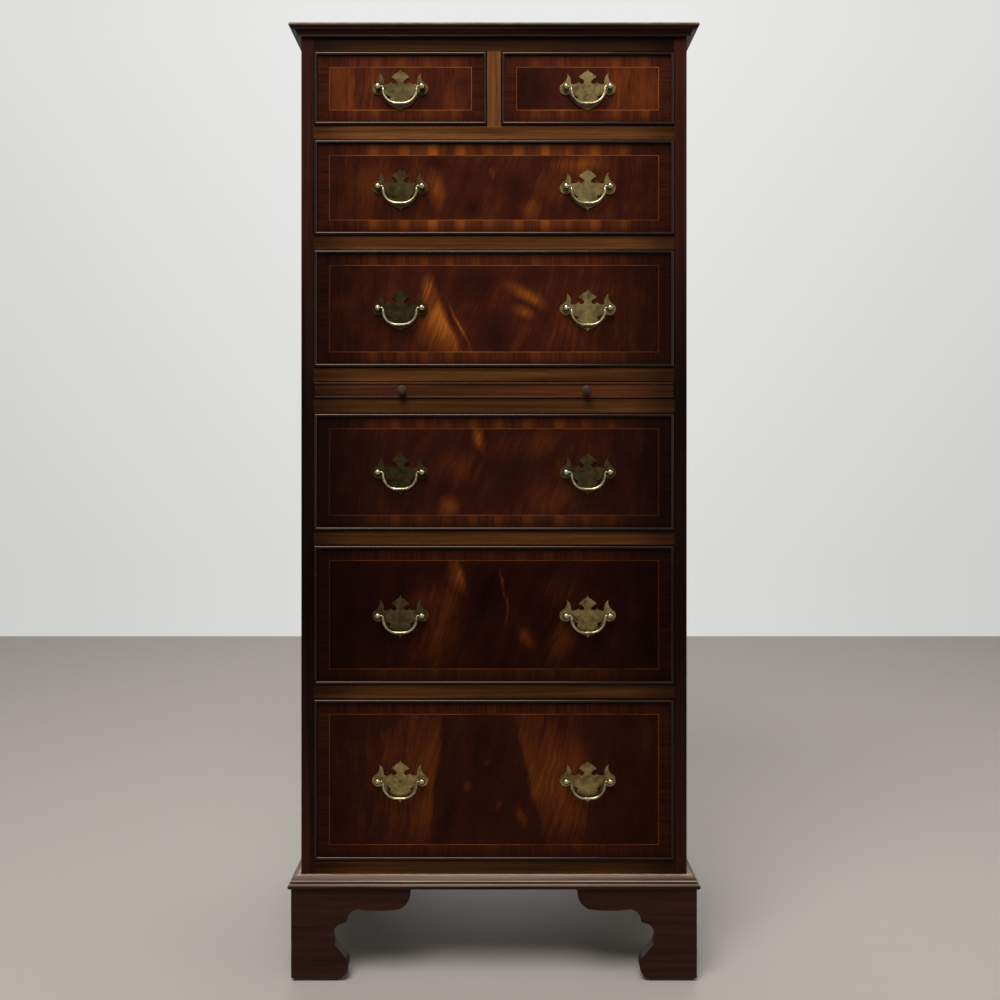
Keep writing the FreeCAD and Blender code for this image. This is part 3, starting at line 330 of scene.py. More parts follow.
def timber(name, tones, run, side_run=None, mitred=None, ring=9.0, length=240.0, seed=0.0,
           roughness=(0.16, 0.26), shine=0.06, by_height=None, dark_ends=False):
    """Straight-grained wood: growth streaks of ring mm, fine dark pores along the run, a rubbed polish.

    tones are the dark, middle and light colours. side_run is the run on faces that look sideways, or on the
    side boards of the node named by mitred. by_height pairs heights in metres with how much of the colour is
    left on the front there: painted light and shade by height. dark_ends darkens a rail toward the side
    panels.
    """
    material, tree, shader = new_finish(name)
    point = add(tree, "TexCoord", out="Object")
    growth = grain(tree, point, run, length, ring, seed, twist=0.4)
    pore = grain(tree, point, run, *PORE, seed + 1, detail=2.0)
    if side_run:
        sideways = side_boards(tree, point, mitred)[0] if mitred else side_faces(tree)
        side_growth = grain(tree, point, side_run, length, ring, seed, twist=0.4)
        side_pore = grain(tree, point, side_run, *PORE, seed + 1, detail=2.0)
        growth = add(tree, "Mix", {SHARE: sideways, NUMBER_A: growth, NUMBER_B: side_growth})
        pore = add(tree, "Mix", {SHARE: sideways, NUMBER_A: pore, NUMBER_B: side_pore})
    colour = add(tree, "ValToRGB", [growth], stops=list(zip((0.32, 0.5, 0.68), tones)))
    veins = add(tree, "MapRange", [pore, 0.30, 0.48, 0.65, 1.0])
    colour = add(tree, "Mix", {SHARE: 1.0, COLOUR_A: colour, COLOUR_B: veins}, **TIMES)
    if by_height:
        top = CAD_BOX[1].z
        height = add(tree, "SeparateXYZ", [point], out="Z")
        height = add(tree, "MapRange", [height, 0.0, top])
        # painted light and shade by height, on the fronts only
        painted_light = add(tree, "ValToRGB", [height], stops=[
            (z / top, (left, left, left, 1.0)) for z, left in by_height])
        front_only = {SHARE: side_faces(tree), COLOUR_A: painted_light, COLOUR_B: (1, 1, 1, 1)}
        painted_light = add(tree, "Mix", front_only, **COLOURS)
        colour = add(tree, "Mix", {SHARE: 1.0, COLOUR_A: colour, COLOUR_B: painted_light}, **TIMES)
    if dark_ends:
        aside = add(tree, "Math", [add(tree, "SeparateXYZ", [point])], operation="ABSOLUTE")
        ends = add(tree, "MapRange", [aside, DARK_FROM, DARKEST, 1.0, END_TONE], **SOFT)
        colour = add(tree, "Mix", {SHARE: 1.0, COLOUR_A: colour, COLOUR_B: ends}, **TIMES)
    gloss = add(tree, "MapRange", [growth, 0.3, 0.7, *roughness])
    bump = add(tree, "Bump", {"Strength": 0.25, "Distance": 0.06 * MM, "Height": pore})
    plug(tree, shader, Base_Color=colour, Roughness=gloss, Normal=bump, Specular_IOR_Level=shine)
    return material, tree, shader


# Drawer fronts

# How far the grain of the veneer wanders, and over what length
WANDER, WANDER_LENGTH = 20 * MM, 55 * MM
# Sizes of the clouds in the veneer, of one leaf of the crossband, and of where its leaves and line are faint
CLOUD, LEAF, LEAF_FAINT, LINE_FAINT = 38 * MM, 40 * MM, 45 * MM, 70 * MM
# The wave texture has a band for each pi / 10 of its length
WAVE_BAND = 0.314
# Half the width in mm over which the straight end of a halved patch fades
CRISP = 4


def soft_patches(tree, point, patches):
    """The sum of the soft spots of figure, each an ellipse that fades to its edge."""
    total = 0.0
    for patch in patches:
        place = add(tree, "Mapping", {
            "Vector": point, "Location": (patch.x * MM, 0, patch.z * MM),
            "Rotation": (0, radians(patch.lean), 0), "Scale": (patch.wide * MM, 1, patch.tall * MM)},
            vector_type="TEXTURE")
        spot = add(tree, "TexGradient", [place], out="Fac", gradient_type="SPHERICAL")
        spot = add(tree, "MapRange", [spot], **SOFT)
        if patch.keep:
            across = add(tree, "SeparateXYZ", [place])
            fade = CRISP / patch.wide * patch.keep
            half = add(tree, "MapRange", [across, -fade, fade])
            spot = add(tree, "Math", [spot, half], operation="MULTIPLY")
        total = add(tree, "Math", [spot, patch.gain, total], operation="MULTIPLY_ADD")
    return total


def flames(tree, local, slow, figure):
    """Plumes that lean away from the spine, bent by the slow wander of the grain, and their pores."""
    centred = add(tree, "VectorMath", [slow, (0.5, 0.5, 0.5)], operation="SUBTRACT")
    bent = add(tree, "VectorMath", [centred, (WANDER, WANDER, WANDER), local], operation="MULTIPLY_ADD")
    bent_u = add(tree, "SeparateXYZ", [bent])
    bent_v = bent_u.node.outputs[2]
    off_spine = add(tree, "Math", [bent_u, figure.spine * MM], operation="SUBTRACT")
    reach = add(tree, "Math", [off_spine], operation="ABSOLUTE")
    spread = add(tree, "MapRange", [reach, 20 * MM, 220 * MM, figure.fan, figure.fan / 7], **SOFT)
    slope = add(tree, "Math", [bent_v, spread], operation="MULTIPLY")
    plume = add(tree, "Math", [off_spine, slope], operation="SUBTRACT")
    along = add(tree, "CombineXYZ", [plume, bent_v, figure.seed * 11 * MM])
    streak = grain(tree, along, "y", 120, 22, figure.seed, detail=7.0)
    mottle = grain(tree, along, "y", 70, 3, figure.seed + 6, detail=4.0)
    pore = grain(tree, along, "y", 18, 1.6, figure.seed, detail=2.0)
    cloud = add(tree, "TexNoise", {
        "Vector": local, "Scale": 1 / CLOUD, "Detail": 4.0, "W": figure.seed + 20}, noise_dimensions="4D")
    shown = figure.base
    for noise, amount in ((streak, 0.36), (cloud, 0.26), (mottle, 0.18), (pore, 0.16)):
        centred = add(tree, "Math", [noise, 0.5], operation="SUBTRACT")
        shown = add(tree, "Math", [centred, amount, shown], operation="MULTIPLY_ADD")
    broken = add(tree, "MapRange", [mottle, 0.3, 0.7, 0.7, 1.25])
    spots = soft_patches(tree, bent, figure.patches)
    shown = add(tree, "Math", [spots, broken, shown], operation="MULTIPLY_ADD")
    tones = "#180704", "#34130a", "#5a2a0e", "#854716", "#a8682c"
    return add(tree, "ValToRGB", [shown], stops=[
        (step / 4, linear(colour, figure.tone)) for step, colour in enumerate(tones)]), pore


def crossband(tree, local, half, gaps, edge, figure, width):
    """Short grain square to each edge, mitred at the corners, with lighter leaves along the top and foot.

    gaps are how far in a point is from the side and from the top or foot, and edge is the smaller of them.
    """
    from_side, from_end = gaps
    level = add(tree, "Math", [from_end, from_side], operation="LESS_THAN")
    columns = add(tree, "Mapping", {
        "Vector": local, "Scale": (1, 0, 0), "Location": (figure.seed * 0.37, 0, 0)})
    leaf = add(tree, "TexWave", {
        "Vector": columns, "Scale": WAVE_BAND / LEAF, "Distortion": 5.0, "Detail": 1.0, "Detail Scale": 0.5},
        out="Fac")
    leaf = add(tree, "MapRange", [leaf, 0.5, 1.0, 0.3, 1.0], **SOFT)
    uneven = add(tree, "TexNoise", {"Vector": columns, "Scale": 1 / LEAF_FAINT, "Detail": 1.0})
    uneven = add(tree, "MapRange", [uneven, 0.35, 0.65, 0.2, 0.8])
    aside = add(tree, "Math", [add(tree, "SeparateXYZ", [local])], operation="ABSOLUTE")
    middle = add(tree, "MapRange", [aside, half.x * 0.62, half.x * 0.86, figure.leaf, 0.0], **SOFT)
    inner = add(tree, "MapRange", [edge, 5 * MM, width, 0.35, 1.0])
    for share in (uneven, level, middle, inner):
        leaf = add(tree, "Math", [leaf, share], operation="MULTIPLY")
    upright = grain(tree, local, "z", 60, 3, figure.seed + 4, detail=2.0)
    lying = grain(tree, local, "x", 60, 3, figure.seed + 5, detail=2.0)
    short = add(tree, "Mix", {SHARE: level, NUMBER_A: lying, NUMBER_B: upright})
    band = add(tree, "ValToRGB", [short], stops=[
        (0.35, linear("#2a0e08", figure.tone)), (0.65, linear("#3f190b", figure.tone))])
    light = linear("#7d4117", figure.tone)
    return add(tree, "Mix", {SHARE: leaf, COLOUR_A: band, COLOUR_B: light}, **COLOURS)


def flame_veneer(drawer, settings):
    """Crotch-cut mahogany veneer, knife-cut, crossbanded and French polished.

    It gives the eye soft amber plumes and dark clouds, a band of short cross grain, a thin light line and, as
    the polish is old, a faint shine. Pores are drawn at 1.6 mm, coarser than real, to show.
    """
    figure = FIGURES[drawer]
    low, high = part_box(f"{drawer}_front")
    centre = (low + high) / 2
    half = (high - low) / 2
    material, tree, shader = new_finish(f"mahogany_flame_veneer_french_polished_{drawer}")
    point = add(tree, "TexCoord", out="Object")
    local = add(tree, "Mapping", {"Vector": point, "Location": (-centre.x, -low.y, -centre.z)})
    u = add(tree, "SeparateXYZ", [local])
    depth, v = u.node.outputs[1:3]
    from_side, from_end = gaps = from_ends(tree, u, half.x), from_ends(tree, v, half.z)
    edge = add(tree, "Math", gaps, operation="MINIMUM")

    # flames in the field, the crossband round it, and a faint light line between
    slow = add(tree, "TexNoise", {
        "Vector": local, "Scale": 1 / WANDER_LENGTH, "Detail": 3.0, "W": figure.seed},
        out="Color", noise_dimensions="4D")
    field, pore = flames(tree, local, slow, figure)
    band = crossband(tree, local, half, gaps, edge, figure, settings.band_width)
    inside = add(tree, "Math", [edge, settings.band_width], operation="GREATER_THAN")
    front = add(tree, "Mix", {SHARE: inside, COLOUR_A: band, COLOUR_B: field}, **COLOURS)
    line = add(tree, "Math", [edge, settings.band_width, settings.line_width / 2], operation="COMPARE")
    faint = add(tree, "TexNoise", {"Vector": local, "Scale": 1 / LINE_FAINT, "Detail": 2.0})
    faint = add(tree, "MapRange", [faint, 0.35, 0.65, 0.25, 1.0])
    line = add(tree, "Math", [line, faint], operation="MULTIPLY")
    line_colour = [part * figure.tone for part in settings.line_colour[:3]] + [1.0]
    front = add(tree, "Mix", {SHARE: line, COLOUR_A: front, COLOUR_B: line_colour}, **COLOURS)

    # darker toward the left and right ends, and painted shade next to the bead along the top and foot
    dark_ends = add(tree, "MapRange", [
        from_side, 4 * MM, min(0.55 * half.x, 140 * MM), figure.ends, 1.0], **SOFT)
    bead_shade = add(tree, "MapRange", [from_end, 5 * MM, 16 * MM, 0.7, 1.0], **SOFT)
    dimmed = add(tree, "Math", [dark_ends, bead_shade], operation="MULTIPLY")
    front = add(tree, "Mix", {SHARE: 1.0, COLOUR_A: front, COLOUR_B: dimmed}, **TIMES)

    # board behind the veneer
    board = add(tree, "ValToRGB", [grain(tree, local, "x", 300, 8, figure.seed)], stops=[
        (0.35, linear("#5a3520")), (0.65, linear("#7d5233"))])
    veneered = add(tree, "Math", [depth, settings.thickness], operation="LESS_THAN")
    colour = add(tree, "Mix", {SHARE: veneered, COLOUR_A: board, COLOUR_B: front}, **COLOURS)
    gloss = add(tree, "MapRange", [slow, 0.3, 0.7, settings.roughness - 0.04, settings.roughness + 0.06])
    bump = add(tree, "Bump", {"Strength": 0.15, "Distance": 0.04 * MM, "Height": pore})
    plug(tree, shader, Base_Color=colour, Roughness=gloss, Normal=bump, Specular_IOR_Level=0.03)
    return material


class CHEST_OT_drawer_fronts(bpy.types.Operator):
    """Veneer the seven drawer fronts"""

    bl_idname = "chest.drawer_fronts"
    bl_label = "Drawer fronts"

    def execute(self, context):
        for drawer in DRAWERS:
            dress([f"{drawer}_front"], flame_veneer(drawer, context.scene.chest_veneer))
        return {"FINISHED"}


class CHEST_OT_cockbeads(bpy.types.Operator):
    """Stain the beads round the drawer fronts"""

    bl_idname = "chest.cockbeads"
    bl_label = "Cockbeads"

    def execute(self, context):
        # Ebonised mahogany bead, planed round and waxed: nearly black, with a thin light along its round.
        bead, tree, shader = new_finish("mahogany_bead_ebonised_waxed")
        wear = grain(tree, add(tree, "TexCoord", out="Object"), "x", 70, 3, 21)
        colour = add(tree, "ValToRGB", [wear], stops=[
            (0.35, linear("#0b0504")), (0.6, linear("#160b08")), (0.75, linear("#2a160e"))])
        gloss = add(tree, "MapRange", [wear, 0.3, 0.7, 0.12, 0.2])
        plug(tree, shader, Base_Color=colour, Roughness=gloss, Specular_IOR_Level=0.35,
             Specular_Tint=linear("#ecccb8"))
        dress([f"{drawer}_cockbead" for drawer in DRAWERS], bead)
        return {"FINISHED"}


# Carcass, feet and slide

class CHEST_OT_carcass(bpy.types.Operator):
    """Veneer the sides and top, and finish the rails between the drawers"""

    bl_idname = "chest.carcass"
    bl_label = "Carcass"

    def execute(self, context):
        # Straight-grained mahogany veneer, stained and French polished: dark red-brown, upright streaks.
        tones = [linear("#1a0a06"), linear("#2a130b"), linear("#3c1e10")]
        # the stiles' fronts get painted light and shade by height: darker in the middle of the chest than low
        # and high
        sides = timber(
            "mahogany_side_veneer_french_polished", tones, "z", ring=14, length=500, shine=0.04,
            by_height=[(0.20, 0.85), (0.55, 0.2), (0.85, 0.2), (1.10, 0.95)])[0]
        top = timber("mahogany_top_veneer_french_polished", tones, "x", ring=14, length=500, seed=2)[0]
        dress(["side_panel_left", "side_panel_right"], sides)
        dress(["top_board"], top)
        # Solid mahogany, planed and waxed: olive brown, with fine streaks along each rail.
        tones = [linear("#41260f"), linear("#583419"), linear("#6f4321")]
        # painted light and shade by height on the rail fronts: darker lower down, with a painted shadow of
        # the cornice on the top rail
        rails = timber(
            "mahogany_rail_planed_waxed", tones, "x", ring=6, length=300, seed=4, shine=0.03,
            dark_ends=True, by_height=[
                (0.16, 0.5), (0.42, 0.55), (0.64, 0.6), (0.88, 0.62), (1.08, 0.8), (1.24, 0.9), (1.34, 0.75),
                (1.355, 0.3), (1.38, 0.12)])[0]
        post = timber("mahogany_divider_planed_waxed", tones, "z", ring=6, length=300, seed=5, shine=0.04)[0]
        dress(["drawer_rails"], rails)
        dress(["centre_divider"], post)
        return {"FINISHED"}


def moulding_wear_and_highlight(node, wear):
    """Mahogany run with a moulding plane, stained and polished.

    It gives the eye nearly black hollows, and pale wood on what looks up and along the top corner, most of
    all
    in the middle of the front: partly bare wood worn through, partly painted highlight of the light from
    above.
    """
    material, tree, shader = timber(
        f"mahogany_moulding_polished_{node}", [linear("#1d0d08"), linear("#2b150c"), linear("#3d2012")],
        "x", "y", node, ring=6, seed=6, roughness=(0.2, 0.32), shine=0.07)
    low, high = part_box(node)
    point = add(tree, "TexCoord", out="Object")
    x = add(tree, "SeparateXYZ", [point])
    z = x.node.outputs[2]
    beyond, inward = side_boards(tree, point, node)
    flecks, streaks = (
        add(tree, "Mix", {
            SHARE: beyond, NUMBER_A: grain(tree, point, "x", long, wide, 8),
            NUMBER_B: grain(tree, point, "y", long, wide, 8)})
        for long, wide in ((14, 2.2), (110, 3)))

    # faces that look up, paler where they lie higher and on the bead at the outer edge: partly wear, partly
    # painted highlight
    facing = add(tree, "SeparateXYZ", [add(tree, "NewGeometry", out="Normal")], out="Z")
    aside = add(tree, "Math", [x], operation="ABSOLUTE")
    handled = add(tree, "MapRange", [aside, 90 * MM, 285 * MM, wear.upper, 0.6 * wear.upper])
    upward = add(tree, "MapRange", [facing, 0.25, 0.9, 0.0, handled])
    polish = add(tree, "MapRange", [streaks, 0.35, 0.65, 0.5, 0.85])
    higher = add(tree, "MapRange", [inward, 5 * MM, 12 * MM, 0.3, 1.0])
    bead = add(tree, "MapRange", [inward, 3.5 * MM, 4.5 * MM, 0.75, 0.0])
    higher = add(tree, "Math", [higher, bead], operation="MAXIMUM")
    for share in (polish, higher):
        upward = add(tree, "Math", [upward, share], operation="MULTIPLY")

    # top corner, pale in flecks: partly bare wood, partly painted highlight along the corner
    corner = add(tree, "MapRange", [z, high.z - 5 * MM, high.z - 2 * MM, 0.0, wear.corner])
    pale_flecks = add(tree, "MapRange", [flecks, 0.4, 0.64, 0.35, 1.0])
    outermost = add(tree, "MapRange", [inward, wear.whole * MM, wear.gone * MM, 1.0, 0.0])
    for share in (pale_flecks, outermost):
        corner = add(tree, "Math", [corner, share], operation="MULTIPLY")
    # pale share: partly wear, partly painted highlight
    worn = add(tree, "Math", [upward, corner], operation="MAXIMUM")

    # pale arris part way up: painted highlight along the edge, with some wear
    if wear.arris:
        line = add(tree, "Math", [z, low.z + wear.arris * MM, 0.9 * MM], operation="COMPARE")
        line = add(tree, "Math", [line, polish], operation="MULTIPLY")
        worn = add(tree, "Math", [worn, line], operation="MAXIMUM")
    stained = shader.inputs["Base Color"].links[0].from_socket
    colour = add(tree, "Mix", {SHARE: worn, COLOUR_A: stained, COLOUR_B: linear(wear.bare)}, **COLOURS)
    plug(tree, shader, Base_Color=colour)
    return material


class CHEST_OT_mouldings(bpy.types.Operator):
    """Finish the cornice and the base moulding"""

    bl_idname = "chest.mouldings"
    bl_label = "Mouldings"

    def execute(self, context):
        for node, wear in WEAR_AND_HIGHLIGHT.items():
            dress([node], moulding_wear_and_highlight(node, wear))
        return {"FINISHED"}


class CHEST_OT_feet(bpy.types.Operator):
    """Finish the bracket feet and their pads"""

    bl_idname = "chest.feet"
    bl_label = "Feet"

    def execute(self, context):
        # Solid mahogany, fret sawn, stained and polished: dark red-brown, grain along the ground.
        feet = timber(
            "mahogany_foot_sawn_polished", [linear("#240f09"), linear("#2c140c"), linear("#371a10")],
            "x", "y", "base_moulding", ring=8, seed=9, roughness=(0.26, 0.38), shine=0.1)[0]
        dress(["front_foot_left", "front_foot_right", "rear_foot_left", "rear_foot_right"], feet)
        soften(["front_foot_left", "front_foot_right"], 0.8 * MM)
        # Black nylon pad, moulded: dull and a little grey. Its specks are coarser than real, to show.
        pad, tree, shader = new_finish("nylon_pad_moulded")
        point = add(tree, "TexCoord", out="Object")
        speck = add(tree, "TexNoise", {"Vector": point, "Scale": 1 / (2 * MM), "Detail": 3.0})
        colour = add(tree, "ValToRGB", [speck], stops=[(0.3, linear("#0e0d0d")), (0.7, linear("#1b1a19"))])
        plug(tree, shader, Base_Color=colour, Roughness=0.6)
        dress(["foot_pads"], pad)
        return {"FINISHED"}


class CHEST_OT_linings(bpy.types.Operator):
    """Finish the unpolished wood inside and behind"""

    bl_idname = "chest.linings"
    bl_label = "Linings"

    def execute(self, context):
        # Quartered oak, planed and left bare: pale brown, fine open pores.
        tones = [linear("#7b5a38"), linear("#94704a"), linear("#ac8a60")]
        box = timber("oak_lining_planed_bare", tones, "x", "y", ring=5, roughness=(0.5, 0.65), seed=10)[0]
        dress([f"{drawer}_box" for drawer in DRAWERS], box)
        # Pine, sawn and stained: darker, wide growth rings.
        tones = [linear("#4f3a26"), linear("#6a4f35"), linear("#806345")]
        inner = timber("pine_sawn_stained", tones, "y", ring=12, roughness=(0.55, 0.7), seed=11)[0]
        back = timber(
            "pine_back_sawn_stained", tones, "z", ring=18, length=600, roughness=(0.55, 0.7), seed=12)[0]
        dress(["bottom_board", "drawer_runners", "drawer_stops", "foot_blocks"], inner)
        dress(["back_panel"], back)
        return {"FINISHED"}


class CHEST_OT_slide(bpy.types.Operator):
    """Finish the brushing slide and its knobs"""

    bl_idname = "chest.slide"
    bl_label = "Brushing slide"

    def execute(self, context):
        # Solid mahogany, planed and polished: red-brown, streaks across the chest.
        board = timber(
            "mahogany_slide_planed_polished", [linear("#2c1409"), linear("#401f0d"), linear("#532b14")], "x",
            ring=10, length=400, seed=13, dark_ends=True)[0]
        dress(["brushing_slide", "slide_lipping"], board)
        # Ebonised knob, turned and long handled: worn matt, grey-brown.
        knob, tree, shader = new_finish("hardwood_knob_turned_ebonised_worn")
        point = add(tree, "TexCoord", out="Object")
        wear = add(tree, "TexNoise", {"Vector": point, "Scale": 1 / (4 * MM), "Detail": 3.0})
        colour = add(tree, "ValToRGB", [wear], stops=[(0.35, linear("#281c15")), (0.7, linear("#3f3026"))])
        plug(tree, shader, Base_Color=colour, Roughness=0.6, Specular_IOR_Level=0.15)
        dress(["slide_knobs"], knob)
        return {"FINISHED"}


# Handles

# Sizes of the patches of patina, and of the casting's pits, which are coarser than real, to show
PATINA, PIT = 16 * MM, 1.2 * MM
# How far the plates stand in front of the drawer fronts
PLATE_THICKNESS = 3 * MM
# Half the width and the depth of the belly of a plate below the axis of its bail, inside which no painted
# shadow falls
BELLY_HALF, BELLY_DEPTH = 27 * MM, 25 * MM
# Heights from that axis between which the painted shadow of the grip round the belly sets in, and gives way
# to the unshaded tip
GRIP_SHADOW_STARTS, GRIP_SHADOW_ENDS = (-12 * MM, -17 * MM), (-31 * MM, -29.5 * MM)


def aged_brass(name, dull, bright, roughness, pitted=0.2, rubbed_from=None, grip=None, tones=None):
    """Cast brass under a brown patina: dull olive where untouched, golden where hands and cloths rub.

    rubbed_from is the y before which the metal stands proud of the plates and is rubbed bright. grip is the x
    and z of the middle of a bail's axis: round the belly below it the plate gets a painted shadow of the
    grip, dark and dull. tones are how light the plates on the left and the right are, in part painted light.
    """
    material, tree, shader = new_finish(name)
    point = add(tree, "TexCoord", out="Object")
    patina = add(tree, "TexNoise", {"Vector": point, "Scale": 1 / PATINA, "Detail": 6.0, "Roughness": 0.7})
    colour = add(tree, "ValToRGB", [patina], stops=[(0.36, dull), (0.64, bright)])
    gloss = add(tree, "MapRange", [patina, 0.3, 0.7, roughness + 0.1, roughness - 0.06])
    x = add(tree, "SeparateXYZ", [point])
    y, z = x.node.outputs[1:3]
    if tones:
        # lightness set plate by plate, in part painted light
        tone = add(tree, "MapRange", [x, -1 * MM, 1 * MM, *tones])
        colour = add(tree, "Mix", {SHARE: 1.0, COLOUR_A: colour, COLOUR_B: tone}, **TIMES)
    if grip:
        # left and right handles are alike, so both are measured from their own middle
        grip_x, grip_z = grip
        beside = add(tree, "Math", [x], operation="ABSOLUTE")
        beside = add(tree, "Math", [beside, abs(grip_x)], operation="SUBTRACT")
        below = add(tree, "Math", [z, grip_z], operation="SUBTRACT")
        belly = add(tree, "CombineXYZ", [
            add(tree, "Math", [beside, BELLY_HALF], operation="DIVIDE"),
            add(tree, "Math", [below, BELLY_DEPTH], operation="DIVIDE")])
        reach = add(tree, "VectorMath", [belly], out="Value", operation="LENGTH")
        # painted shadow of the grip: dark, dull brass round the belly below the bail's axis
        grip_shadow = add(tree, "MapRange", [reach, 0.86, 1.02, 0.0, 0.85])
        clear = add(tree, "MapRange", [below, *GRIP_SHADOW_STARTS])
        tip = add(tree, "MapRange", [below, *GRIP_SHADOW_ENDS])
        for share in (clear, tip):
            grip_shadow = add(tree, "Math", [grip_shadow, share], operation="MULTIPLY")
        colour = add(tree, "Mix", {SHARE: grip_shadow, COLOUR_A: colour, COLOUR_B: linear("#1f1610")}, **COLOURS)
        gloss = add(tree, "Mix", {SHARE: grip_shadow, NUMBER_A: gloss, NUMBER_B: 0.7})
    if rubbed_from is not None:
        rubbed = add(tree, "Math", [y, rubbed_from], operation="LESS_THAN")
        colour = add(tree, "Mix", {SHARE: rubbed, COLOUR_A: colour, COLOUR_B: linear("#a09471")}, **COLOURS)
        gloss = add(tree, "Mix", {SHARE: rubbed, NUMBER_A: gloss, NUMBER_B: 0.2})
    pits = add(tree, "TexNoise", {"Vector": point, "Scale": 1 / PIT, "Detail": 2.0})
    bump = add(tree, "Bump", {"Strength": pitted, "Distance": 0.08 * MM, "Height": pits})
    plug(tree, shader, Base_Color=colour, Roughness=gloss, Metallic=1.0, Normal=bump)
    return material


class CHEST_OT_handles(bpy.types.Operator):
    """Finish the backplates, posts and bails"""

    bl_idname = "chest.handles"
    bl_label = "Handles"

    def execute(self, context):
        brass = context.scene.chest_brass
        plate_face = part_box("long_drawer_1_front")[0].y - PLATE_THICKNESS
        rubbed = aged_brass("brass_edge_rubbed", linear("#94825a"), linear("#c4b384"), brass.bail_roughness)
        bail = aged_brass(
            "brass_bail_rubbed", linear("#6d6243"), linear("#aca181"), brass.bail_roughness, pitted=0.05)
        for drawer in DRAWERS:
            low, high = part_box(next(name for name in BAILS if name.startswith(drawer)))
            plate = aged_brass(
                f"brass_plate_cast_aged_{drawer}", linear("#372e1b"), linear("#6d5d39"),
                brass.plate_roughness, rubbed_from=plate_face, grip=((low.x + high.x) / 2, high.z),
                tones=PLATE_TONES[drawer])
            dress([f"{drawer}_handle_plates"], plate, rubbed)
            soften([f"{drawer}_handle_plates"], brass.edge_width, edge_slot=1, segments=1)
        dress(BAILS, bail)
        return {"FINISHED"}


# Stage

# How far the floor goes to the front and each side, where the wall stands, and its height, in metres
FLOOR_REACH, WALL_PLACE, WALL_HEIGHT = 6.0, 2.55, 5.0


def flat_sheet(name, corners, material):
    """A plain four-cornered sheet of the stage."""
    mesh = bpy.data.meshes.new(name)
    mesh.from_pydata(corners, [], [(0, 1, 2, 3)])
    mesh.materials.append(material)
    sheet = bpy.data.objects.new(name, mesh)
    bpy.context.scene.collection.objects.link(sheet)


def soft_lamp(name, power, size, place, aim):
    """A square soft lamp that looks at a point."""
    lamp = bpy.data.lights.new(name, "AREA")
    lamp.energy = power
    lamp.size = size
    holder = bpy.data.objects.new(name, lamp)
    holder.location = place
    holder.rotation_euler = (Vector(aim) - Vector(place)).to_track_quat("-Z", "Y").to_euler()
    holder.visible_camera = False
    bpy.context.scene.collection.objects.link(holder)


def seen_rays(tree):
    """One for camera, mirror and glass rays, which see the plain background."""
    camera = add(tree, "LightPath", out="Is Camera Ray")
    glossy, glass = camera.node.outputs["Is Glossy Ray"], camera.node.outputs["Is Transmission Ray"]
    mirrored = add(tree, "Math", [camera, glossy], operation="MAXIMUM")
    return add(tree, "Math", [mirrored, glass], operation="MAXIMUM")


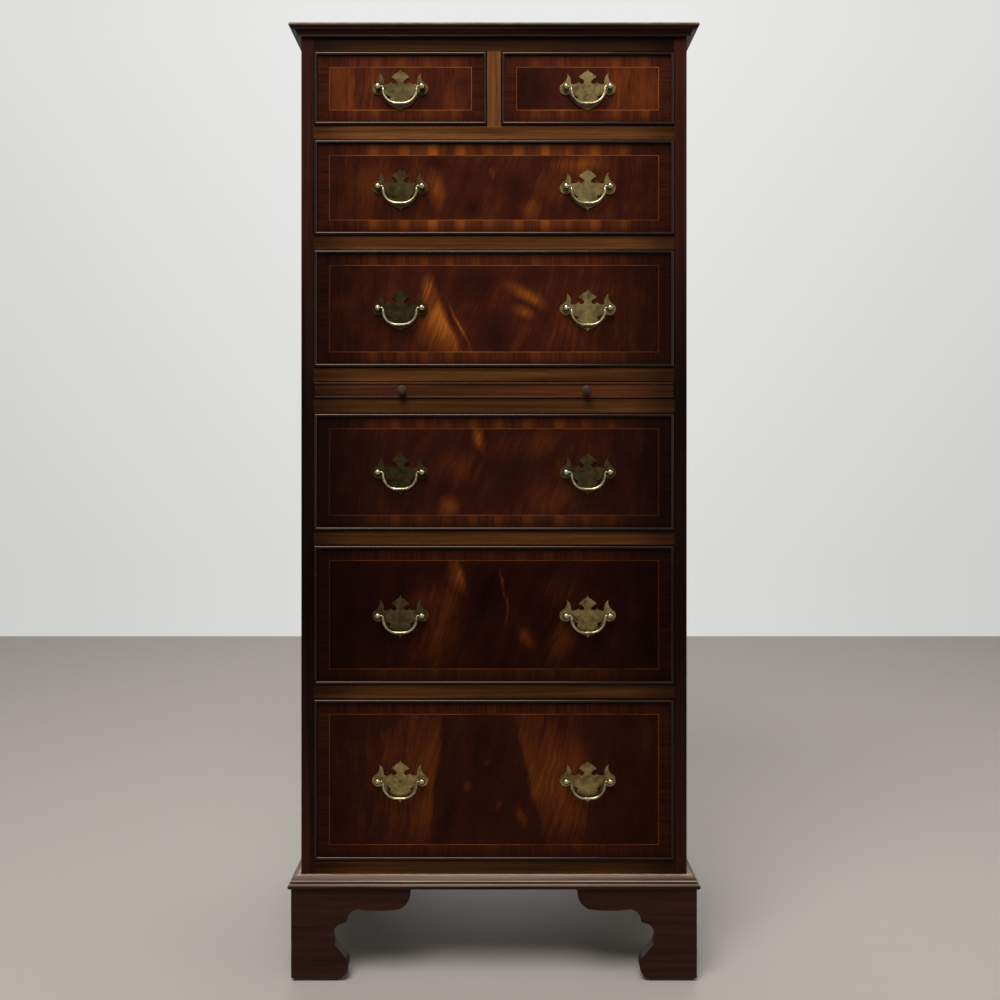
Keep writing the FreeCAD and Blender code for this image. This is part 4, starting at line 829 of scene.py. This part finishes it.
class CHEST_OT_stage(bpy.types.Operator):
    """Set the floor, wall, lamps and camera"""

    bl_idname = "chest.stage"
    bl_label = "Stage"

    def execute(self, context):
        scene = context.scene
        stage = scene.chest_stage
        left, right, back = -FLOOR_REACH, FLOOR_REACH, WALL_PLACE
        # Painted floor, matt: takes the soft shadow.
        floor, tree, shader = new_finish("floor_paint_matt")
        plug(tree, shader, Base_Color=stage.floor_colour, Roughness=0.6)
        flat_sheet("floor", [
            (left, -FLOOR_REACH, 0), (right, -FLOOR_REACH, 0), (right, back, 0), (left, back, 0)], floor)
        # Painted plaster, matt: plain and pale. Camera, mirror and glass rays see it glow in its own colour,
        # with painted light a little brighter high up and dimmer to the sides.
        wall, tree, shader = new_finish("wall_plaster_painted")
        plug(tree, shader, Base_Color=stage.wall_colour, Roughness=0.8)
        spot = add(tree, "SeparateXYZ", [add(tree, "TexCoord", out="Object")])
        aside = add(tree, "Math", [spot], operation="ABSOLUTE")
        upper = add(tree, "MapRange", [spot.node.outputs[2], 0.3, 2.5, 0.96, 1.12])
        outer = add(tree, "MapRange", [aside, 0.7, 2.1, 1.0, 0.88])
        strength = add(tree, "Math", [upper, outer], operation="MULTIPLY")
        glow = add(tree, "Emission", [stage.wall_colour, strength])
        seen = add(tree, "MixShader", [seen_rays(tree), shader.outputs[0], glow])
        tree.links.new(seen, tree.nodes["Material Output"].inputs[0])
        flat_sheet("wall", [
            (left, back, 0), (right, back, 0), (right, back, WALL_HEIGHT), (left, back, WALL_HEIGHT)], wall)

        world = bpy.data.worlds.new("studio")
        world.use_nodes = True
        tree = world.node_tree
        upward = add(tree, "SeparateXYZ", [add(tree, "TexCoord", out="Generated")], out="Z")
        dome = add(tree, "MapRange", [upward, 0.35, 1.0, stage.horizon, stage.overhead])
        light = add(tree, "Background", [(1, 1, 1, 1), dome])
        seen = add(tree, "Background", [stage.wall_colour, 1.0])
        mixed = add(tree, "MixShader", [seen_rays(tree), light, seen])
        tree.links.new(mixed, tree.nodes["World Output"].inputs[0])
        scene.world = world

        soft_lamp("key_lamp", stage.key_power, 1.6, (-0.45, -1.7, 3.1), (0, -0.1, 0.6))
        soft_lamp("fill_lamp", stage.fill_power, 1.6, (2.4, -1.2, 1.5), (0, 0, 0.7))
        soft_lamp("back_lamp", stage.back_power, 2.4, (0.2, 1.2, 3.4), (0, 0.9, 0))
        soft_lamp("low_lamp", stage.low_power, 0.3, (0, 0.8, 0.32), (0, 0.2, 0))

        lens = bpy.data.cameras.new("camera")
        lens.sensor_width = 36.0
        lens.lens = stage.focal_pixels * lens.sensor_width / IMAGE_PIXELS
        lens.shift_x = 0.5 - stage.centre_column / IMAGE_PIXELS
        lens.shift_y = stage.centre_row / IMAGE_PIXELS - 0.5
        camera = bpy.data.objects.new("camera", lens)
        front_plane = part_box("drawer_rails")[0].y
        camera.location = (0, front_plane - stage.camera_distance, stage.camera_height)
        camera.rotation_euler = (radians(90), 0, 0)
        scene.collection.objects.link(camera)
        scene.camera = camera
        scene.view_settings.view_transform = "Standard"
        return {"FINISHED"}


OPERATORS = (
    CHEST_OT_carcass, CHEST_OT_mouldings, CHEST_OT_feet, CHEST_OT_linings, CHEST_OT_slide,
    CHEST_OT_drawer_fronts, CHEST_OT_cockbeads, CHEST_OT_handles, CHEST_OT_stage,
)


class CHEST_PT_sidebar(bpy.types.Panel):
    """Lists the chest's steps and settings"""

    bl_idname = "CHEST_PT_sidebar"
    bl_label = "Tall chest of drawers"
    bl_space_type = "VIEW_3D"
    bl_region_type = "UI"
    bl_category = "Chest"

    def draw(self, context):
        for operator in OPERATORS:
            self.layout.operator(operator.bl_idname)
        for group in (context.scene.chest_veneer, context.scene.chest_brass, context.scene.chest_stage):
            for name in group.__annotations__:
                self.layout.prop(group, name)


CLASSES = (VeneerSettings, BrassSettings, StageSettings, *OPERATORS, CHEST_PT_sidebar)


def register():
    for cls in CLASSES:
        bpy.utils.register_class(cls)
    bpy.types.Scene.chest_veneer = PointerProperty(type=VeneerSettings)
    bpy.types.Scene.chest_brass = PointerProperty(type=BrassSettings)
    bpy.types.Scene.chest_stage = PointerProperty(type=StageSettings)


def unregister():
    del bpy.types.Scene.chest_stage
    del bpy.types.Scene.chest_brass
    del bpy.types.Scene.chest_veneer
    for cls in reversed(CLASSES):
        bpy.utils.unregister_class(cls)


def main():
    register()
    for operator in OPERATORS:
        getattr(bpy.ops.chest, operator.bl_idname.split(".")[1])()


if __name__ == "__main__":
    main()
